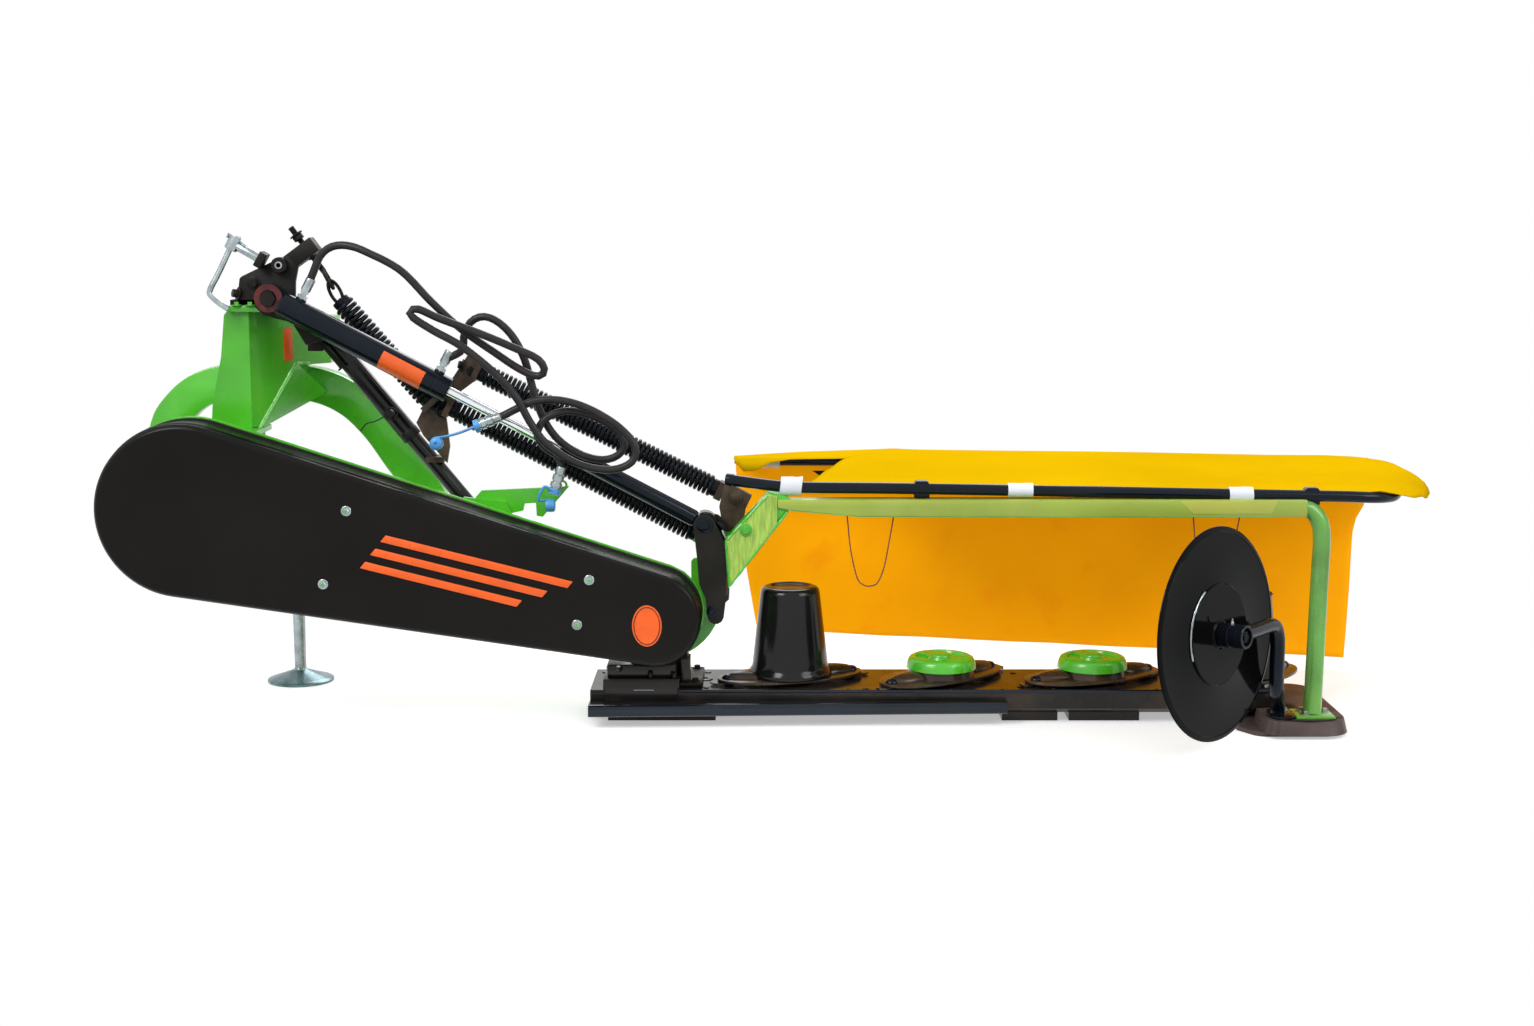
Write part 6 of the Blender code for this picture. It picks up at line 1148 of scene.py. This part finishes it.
def bar_details():
    """Bolts, plugs and rims on the bar, its rail, the gearbox's seat, and its outer end's details."""
    dark = Shape()
    for x, y in ((1.630, -0.295), (1.622, -0.497), (2.038, -0.308), (2.038, -0.476), (2.450, -0.300),
            (2.450, -0.492), (1.195, -0.300), (1.195, -0.485), (0.960, -0.490), (0.910, -0.300)):
        dark.bolt((x, y, LID_TOP - 0.0034), UP, 0.0085, 0.0035)
    for x in [1.30 + 0.1375 * i for i in range(10)]:
        dark.turned(((0, 0), (0.0055, 0), (0.005, 0.002), (0, 0.0028)), (x, -0.5045, LID_TOP), steps=14)
    dark.turned(((0.0085, 0), (0.021, 0), (0.0215, 0.0014), (0.0185, 0.0028), (0.0095, 0.0028),
        (0.0085, 0.0018), (0.0085, 0)), (1.189, -0.381, LID_TOP), steps=32)
    for x in DISC_X:
        dark.turned(((0.040, 0), (0.066, 0), (0.064, 0.0035), (0.041, 0.0035), (0.040, 0)),
            (x, BAR_Y, LID_TOP - 0.0005), steps=48)
    dark.done("bar_bolts", "cutter_bar", "bar", slot="black_paint")
    seam = Shape().prism([(-0.5125, 0.0835), (-0.5125, 0.0920), (-0.5085, 0.0925), (-0.5085, 0.0835)],
        "X", 1.130, 2.700, 0.0008)
    seam.done("lid_edge", "cutter_bar", "rail")
    block = Shape().box((0.920, 1.124), (-0.5165, -0.300), (0.0915, 0.1220), 0.003)
    block.box((0.925, 1.119), (-0.5205, -0.514), (0.060, 0.118), 0.002)
    block.box((0.928, 1.116), (-0.500, -0.320), (0.120, 0.160), 0.010)
    block.box((1.126, 1.152), (-0.470, -0.405), (0.0915, 0.168), 0.003)
    for x, z in ((0.962, 0.142), (1.047, 0.128), (1.110, 0.126)):
        block.turned(((0, 0), (0.0075, 0), (0.0075, 0.012), (0.005, 0.014), (0, 0.014)), (x, -0.506, z),
            (0, -0.3, 1), 16)
    block.done("gearbox_seat", "cutter_bar", "bar", slot="black_paint")
    Shape().box((1.002, 1.056), (-0.5225, -0.5195), (0.0925, 0.0945), 0.0006).done("seat_slot",
        "cutter_bar", "zinc")
    outline = []
    for cx, cy, start in ((-0.5165, 0.040, -90), (-0.5165, 0.058, 0), (-0.5720, 0.0545, 90),
            (-0.5720, 0.0435, 180)):
        r = 0.0060 if cx > -0.55 else 0.0112
        outline += arc((cx, cy), r, start, start + 90, 5)
    rail = Shape()
    rings = []
    for x in (0.885, 0.888, 1.998):
        lean = 0.0 if x < 1.9 else 1.0
        rings.append([(x, y + (0.040 * lean if y < -0.55 else 0.0) - 0.0015, z) for y, z in outline])
    rail.rings(rings)
    rail.done("rail_bar", "cutter_bar", "rail", replaces=("rear_rail",), slot="black_paint", angle=40)
    shoe = Shape()
    for x, y, w, h in ((2.762, -0.500, 0.012, 0.030), (2.848, -0.622, 0.016, 0.010)):
        shoe.box((x - w, x + w), (y - h, y + h), (0.0448, 0.0462), 0.0004)
    shoe.done("shoe_slots", "cutter_bar", "satin")
    edge = [(2.672, -0.610, 0.046), (2.690, -0.645, 0.046), (2.730, -0.668, 0.046),
        (2.790, -0.672, 0.046), (2.835, -0.655, 0.046), (2.858, -0.615, 0.046)]
    Shape().tube(smooth(edge, 6), 0.0022, 8).done("shoe_edge", "cutter_bar", "satin")
    rod = Shape().tube([(2.652, -0.660, 0.136), (2.676, -0.662, 0.146), (2.700, -0.658, 0.157)], 0.0045,
        12)
    rod.bolt((2.722, -0.585, 0.0530), (0, 0, 1), 0.008, 0.006)
    rod.done("end_rod", "cutter_bar", "zinc")
    # A thin brass-coloured band on cone 4's top rim: a painted highlight for the light on that rim.
    Shape().turned(((0.070, 0.0), (0.0735, 0.002), (0.0725, 0.010), (0.069, 0.012), (0.070, 0.0)),
        (DISC_X[3], BAR_Y, 0.322), steps=48).done("cone_rim_highlight", "disc_rotor_4", "painted_highlight")


bar_details()


def swath():
    """The glossy swath disc with its inner plate, and the bent arm with its hub."""
    centre = Vector((2.486, -0.828, 0.310))
    normal = Vector((0.7333, -0.6782, 0.0483)).normalized()
    disc = Shape().turned(((0, -0.004), (0.262, -0.004), (0.270, -0.0032), (0.272, -0.001),
        (0.2715, 0.0012), (0.268, 0.0030), (0.2605, 0.0036), (0.2590, 0.0026), (0.2575, 0.0036),
        (0.1345, 0.0036), (0.130, 0.0045), (0.1292, 0.0088), (0.1270, 0.0102), (0.038, 0.0102),
        (0.0345, 0.0125), (0.0325, 0.0145), (0, 0.0145)), centre, normal, 128)
    disc.turned(((0, 0.010), (0.012, 0.010), (0.012, 0.0835), (0.0105, 0.085), (0, 0.085)), centre,
        normal, 28)
    disc.done("swath_plate", "swath_wheel", "mirror", replaces=("swath_disc",), slot="black_paint",
        angle=24)
    nut = Shape().turned(((0, 0.0715), (0.0155, 0.0715), (0.0165, 0.073), (0.0165, 0.0805),
        (0.0150, 0.082), (0, 0.082)), centre, normal, 6)
    nut.done("swath_nut", "swath_wheel", "barrel")
    left = normal.cross(UP).normalized()
    rise = left.cross(normal).normalized()
    sweep = [math.radians(-22 + 84 * i / 40) for i in range(41)]
    weld_r = 0.1315
    Shape().bead([centre + normal * 0.0062 + (left * math.cos(a) + rise * math.sin(a)) * weld_r
        for a in sweep], 0.0030, 0.0012, 90.0).done("swath_weld", "swath_wheel", "zinc", angle=180)
    hub = Shape().turned(((0.0225, 0.071), (0.0225, 0.0855), (0.0235, 0.087), (0.0285, 0.087),
        (0.030, 0.0855), (0.030, 0.0485), (0.0293, 0.0475), (0.0293, 0.0465), (0.030, 0.0455),
        (0.030, 0.0170), (0.0290, 0.016), (0.0129, 0.016), (0.0129, 0.071), (0.0225, 0.071)), centre,
        normal, 44)
    grip = centre + normal * 0.062
    post = Vector((2.674, -0.690, 0.0))
    out = Vector((post.x - grip.x, post.y - grip.y, 0.0)).normalized()
    corner = Vector((post.x, post.y, grip.z))
    path = [(2.700, -0.605, 0.0455), (2.698, -0.617, 0.078), (2.680, -0.672, 0.125),
        (2.674, -0.690, 0.175), corner - Vector((0, 0, 0.062)), corner - Vector((0, 0, 0.030)) - out
        * 0.006, corner - out * 0.024 - Vector((0, 0, 0.007)), corner - out * 0.060]
    fine = smooth(path, 6) + [grip + out * 0.020]
    hub.tube(fine, 0.019, 28)
    hub.prism([(2.680, -0.640), (2.690, -0.655), (2.730, -0.655), (2.738, -0.645), (2.738, -0.568),
        (2.728, -0.560), (2.688, -0.560), (2.680, -0.568)], "Z", *PAD_Z, 0.0015)
    hub.done("swath_post", "cutter_bar", "barrel", replaces=("swath_arm",), slot="black_paint")
    nipple = centre + normal * 0.043 + UP * 0.029
    Shape().turned(((0, 0), (0.0048, 0), (0.0048, 0.005), (0.003, 0.007), (0.0026, 0.011),
        (0.0036, 0.0135), (0, 0.0155)), nipple, steps=16).done("grease_nipple", "cutter_bar", "zinc")


swath()


# Guard sheet, curtain and tube

RIGHT_EDGE = ((-0.480, 2.985), (-0.474, 3.025), (-0.458, 3.066), (-0.420, 3.108), (-0.360, 3.145),
    (-0.250, 3.186), (-0.100, 3.216), (0.0, 3.221), (0.080, 3.206), (0.130, 3.168), (0.162, 3.100))
EDGE_DROP = ((-0.480, 0.0), (-0.474, 0.005), (-0.458, 0.020), (-0.420, 0.033), (-0.360, 0.040),
    (-0.250, 0.044), (-0.100, 0.043), (0.0, 0.040), (0.080, 0.034), (0.162, 0.018))
FAR_CREST = ((1.26, 0.637), (1.455, 0.649), (1.705, 0.659), (1.926, 0.657), (2.573, 0.648),
    (2.838, 0.642), (3.25, 0.638))


def left_edge(y):
    """Where the sheet ends at its inner end: a strip over the far tube, then the notch."""
    notch = 1.479 + (y + 0.445) / 0.425 * 0.11
    t = max(0.0, min(1.0, (y + 0.008) / 0.036))
    return notch + (1.262 - notch) * t * t * (3 - 2 * t)


def sheet_height(x, y):
    """The sheet's height, with its crest, its folds and its drooping outer end."""
    t = max(0.0, min(1.0, (y + 0.478) / 0.628))
    low = tube_height(x) + 0.0125
    z = low + (along_table(FAR_CREST, x) - low) * t
    z += 0.006 * math.sin(math.pi * t)
    z += 0.0035 * noise.noise(Vector((x * 1.6, y * 7.0, 0.3)))
    ridge = (y + 0.415 - 0.020 * math.sin(x * 2.1)) / 0.022
    z += 0.0045 * math.exp(-ridge * ridge) * min(1.0, max(0.0, (x - 1.7) / 0.4))
    fold = (y + 0.30 - (x - 1.52) * 0.55) / 0.040
    z += 0.006 * math.exp(-fold * fold) * math.exp(-((x - 1.75) / 0.22) ** 2)
    fold = (y + 0.05 - (x - 1.62) * 1.6) / 0.050
    z += 0.005 * math.exp(-fold * fold) * math.exp(-((x - 1.66) / 0.08) ** 2)
    pull = (y + 0.36 - (x - 2.80) * 0.75) / 0.035
    z += 0.007 * math.exp(-pull * pull) * math.exp(-((x - 2.98) / 0.16) ** 2)
    edge = along_table(RIGHT_EDGE, y)
    s = max(0.0, 1 - (edge - x) / 0.13)
    z -= along_table(EDGE_DROP, y) * s ** 2.6
    z += 0.006 * s * noise.noise(Vector((x * 14.0, y * 16.0, 4.0)))
    return z


def guard_sheet():
    """The yellow sheet: over the far tube, creased, with a flap and a notch at its inner end."""
    near = TUBE_Y - 0.002
    levels = [near + (-0.016 - near) * j / 22 for j in range(22)]
    levels += [-0.016 + 0.046 * j / 12 for j in range(12)]
    levels += [0.030 + 0.120 * j / 8 for j in range(9)]
    columns = 120
    shape = Shape()
    rows = []
    for y in levels:
        left = left_edge(y)
        right = along_table(RIGHT_EDGE, y)
        rows.append([Vector((left + (right - left) * i / columns, y, 0.0)) for i in range(columns + 1)])
    for row in rows:
        for point in row:
            point.z = sheet_height(point.x, point.y)
    crest = rows[-1]
    for angle in (60, 30, 0, -30):
        a = math.radians(angle)
        line = []
        for i, point in enumerate(crest):
            drop = 0.0165 * (1 - math.sin(a))
            pull = max(0.0, (point.x - 2.95) / 0.20) * 0.02
            line.append(Vector((point.x, FAR_Y + 0.0168 * math.cos(a) - pull, point.z - drop)))
        rows.append(line)
    made = [[shape.bm.verts.new(p) for p in row] for row in rows]
    for low, high in zip(made, made[1:]):
        for i in range(columns):
            shape.bm.faces.new((low[i], low[i + 1], high[i + 1], high[i]))
    first = 22
    border = [made[j][0] for j in range(first, first + 13)]
    hang = []
    for vert in border:
        x = vert.co.x
        if x < 1.296:
            deep = 0.046 * max(0.0, 1 - (1.296 - x) / 0.040)
        else:
            deep = 0.046 * max(0.0, 1 - (x - 1.296) / 0.105) ** 1.6
        hang.append(shape.bm.verts.new(vert.co + Vector((0.006, -0.010, -0.004 - deep))))
    for a, b, c, d in zip(border, border[1:], hang[1:], hang):
        shape.bm.faces.new((a, b, c, d))
    return shape.done("tarp_sheet", "guard_frame", "tarp", replaces=("guard_sheet",),
        slot="tarp_yellow", angle=180, solid=0.0016)


def guard_curtain():
    """The orange curtain that hangs from the far tube in loose folds."""
    top = TUBE_Z + 0.006
    columns = 100
    rows = 30
    shape = Shape()
    made = []
    for i in range(columns + 1):
        across = i / columns
        line = []
        low = 0.115 + (0.030 - 0.115) * across
        for j in range(rows + 1):
            down = j / rows
            z = top + (low - top) * down
            left = along_table(((0.10, 1.332), (0.13, 1.326), (0.33, 1.292), (0.60, 1.266)), z)
            right = along_table(((0.02, 3.082), (0.235, 3.090), (0.407, 3.093), (0.449, 3.101),
                (0.494, 3.125), (0.63, 3.130)), z)
            wave = 0.5 - 0.5 * math.cos(2 * math.pi * 5 * across)
            crease = 0.004 * noise.noise(Vector((across * 14, down * 3, 1.0)))
            crease += 0.003 * noise.noise(Vector((across * 5 + down * 6, down * 9, 7.0)))
            x = left + (right - left) * across
            line.append(shape.bm.verts.new((x, FAR_Y + 0.0185 + 0.010 * wave * down + crease * down,
                z)))
        made.append(line)
    for i in range(columns):
        for j in range(rows):
            shape.bm.faces.new((made[i][j], made[i + 1][j], made[i + 1][j + 1], made[i][j + 1]))
    return shape.done("curtain_sheet", "curtain", "curtain", replaces=("guard_curtain",),
        slot="curtain_orange", angle=180, solid=0.0016)


def guard_tube():
    """The bent tube with its end cap, the white straps, two wire loops and a corner plate."""
    y, z, far = TUBE_Y, TUBE_Z, FAR_Y
    corner = [(2.900, y, 0.6085), (2.960, y + 0.003, 0.606), (3.004, y + 0.022, 0.604),
        (3.038, y + 0.060, 0.603), (3.066, y + 0.140, 0.603), (3.080, y + 0.260, 0.606),
        (3.082, y + 0.480, 0.612), (3.062, far - 0.075, 0.616), (3.00, far - 0.012, 0.619),
        (2.90, far, 0.622)]
    near = [(x, y + away, tube_height(x)) for x, away in ((1.252, 0.024), (1.320, 0.013),
        (1.390, 0.004), (1.460, 0.0), (1.763, 0.0), (2.452, 0.0))]
    points = smooth(near, 4) + smooth(corner, 5) + [Vector((2.2, far, z)), Vector((1.285, far, z))]
    near = [Vector(p) for p in near]
    shape = Shape().tube(points, 0.0153, 24)
    way = (near[1] - near[0]).normalized()
    shape.turned(((0, -0.004), (0.0140, -0.004), (0.0162, -0.002), (0.0166, 0.0), (0.0166, 0.016),
        (0.0150, 0.018), (0, 0.018)), near[0], way, 28)
    shape.done("tube_frame", "guard_frame", "barrel", replaces=("guard_tube",), slot="black_paint")
    white = Shape()
    for x0, x1, half, skew, low, place_y in ((1.393, 1.450, 0.0255, 0.12, 0.010, y + 0.002),
            (1.996, 2.062, 0.0185, 0.0, 0.000, y), (2.582, 2.645, 0.0205, -0.03, -0.012, y),
            (1.338, 1.396, 0.0185, 0.0, -0.004, far)):
        rings = []
        for i in range(9):
            t = i / 8
            wrinkle = 1 + 0.05 * noise.noise(Vector((x0 + t * 3.0, half * 40, 2.0)))
            ring = []
            for a in angles(20):
                height = half * wrinkle * math.sin(a)
                ring.append((x0 + (x1 - x0) * t + skew * height, place_y - 0.0182 * math.cos(a),
                    z + low + height))
            rings.append(ring)
        white.rings(rings)
    white.done("tube_straps", "guard_frame", "white", angle=60)
    wires = Shape()
    for start in (1.571, 2.491):
        wires.tube(smooth([(start + x, -0.470, h) for x, h in ((0.0, 0.556), (0.010, 0.464),
            (0.028, 0.388), (0.045, 0.369), (0.062, 0.366), (0.082, 0.375), (0.099, 0.416),
            (0.112, 0.485), (0.124, 0.557))], 5), 0.0019, 8)
    wires.done("wire_loops", "cutter_bar", "wire")
    Shape().prism([(1.49, 0.598), (1.590, 0.598), (1.560, 0.578), (1.540, 0.566)], "Y", 0.130, 0.134,
        0.0005).done("corner_plate", "guard_frame", "satin")


tarp = guard_sheet()
curtain = guard_curtain()
guard_tube()


# Finishes of the CAD's own nodes

def dress():
    """Give each CAD node its finish, and round the edges of those that are named for it."""
    table = {"green": ("headstock_bow", "headstock_tower", "main_beam", "transport_hook",
        "belt_backplate", "hinge_plate", "disc_2_cap", "disc_3_cap"), "arm": ("guard_arm",),
        "beam": ("guard_beam",), "black": ("strut_outer_tube", "strut_inner_tube", "disc_1_cone",
        "disc_4_cone", "swath_disc", "swath_arm", "guard_tube", "cylinder_barrel", "lift_rod"),
        "satin": ("swing_bracket",), "link": ("lift_link",), "bar": ("bar_housing", "bar_lid",
        "rear_rail", "gearbox_housing"), "brown": ("spring_anchor", "spring_bracket"),
        "disc": ("disc_1", "disc_2", "disc_3", "disc_4"), "shoe": ("outer_shoe",),
        "zinc": ("kingpin", "stand_leg", "stand_clamp_screw", "spring_adjuster", "top_link_pin"),
        "steel": ("drive_pulley", "driven_pulley", "upright_shaft", "bar_shaft"),
        "knife": tuple(f"knife_{n}{e}" for n in (1, 2, 3, 4) for e in "ab"), "belt": ("drive_belt",),
        "tarp": ("guard_sheet",), "curtain": ("guard_curtain",), "hose": ("hose_1", "hose_2"),
        "spring": ("short_spring", "upper_spring", "lower_spring"), "cover": ("belt_cover",),}
    rounded = {"headstock_bow": 0.003, "headstock_tower": 0.003, "main_beam": 0.002, "guard_arm": 0.003,
        "guard_beam": 0.003, "swing_bracket": 0.0015, "lift_link": 0.002, "transport_hook": 0.001,
        "bar_housing": 0.002, "bar_lid": 0.0015, "rear_rail": 0.003, "outer_shoe": 0.002,
        "gearbox_housing": 0.002, "hinge_plate": 0.0015}
    left = set(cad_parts)
    for finish_name, names in table.items():
        for name in names:
            left.discard(name)
            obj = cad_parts[name]
            obj.material_slots[0].material = M[finish_name]
            if name in rounded:
                weld = obj.modifiers.new("weld", "WELD")
                weld.merge_threshold = 0.00005
                soften(obj, rounded[name], 2)
    if left:
        raise ValueError(f"no finish for {sorted(left)}")


dress()
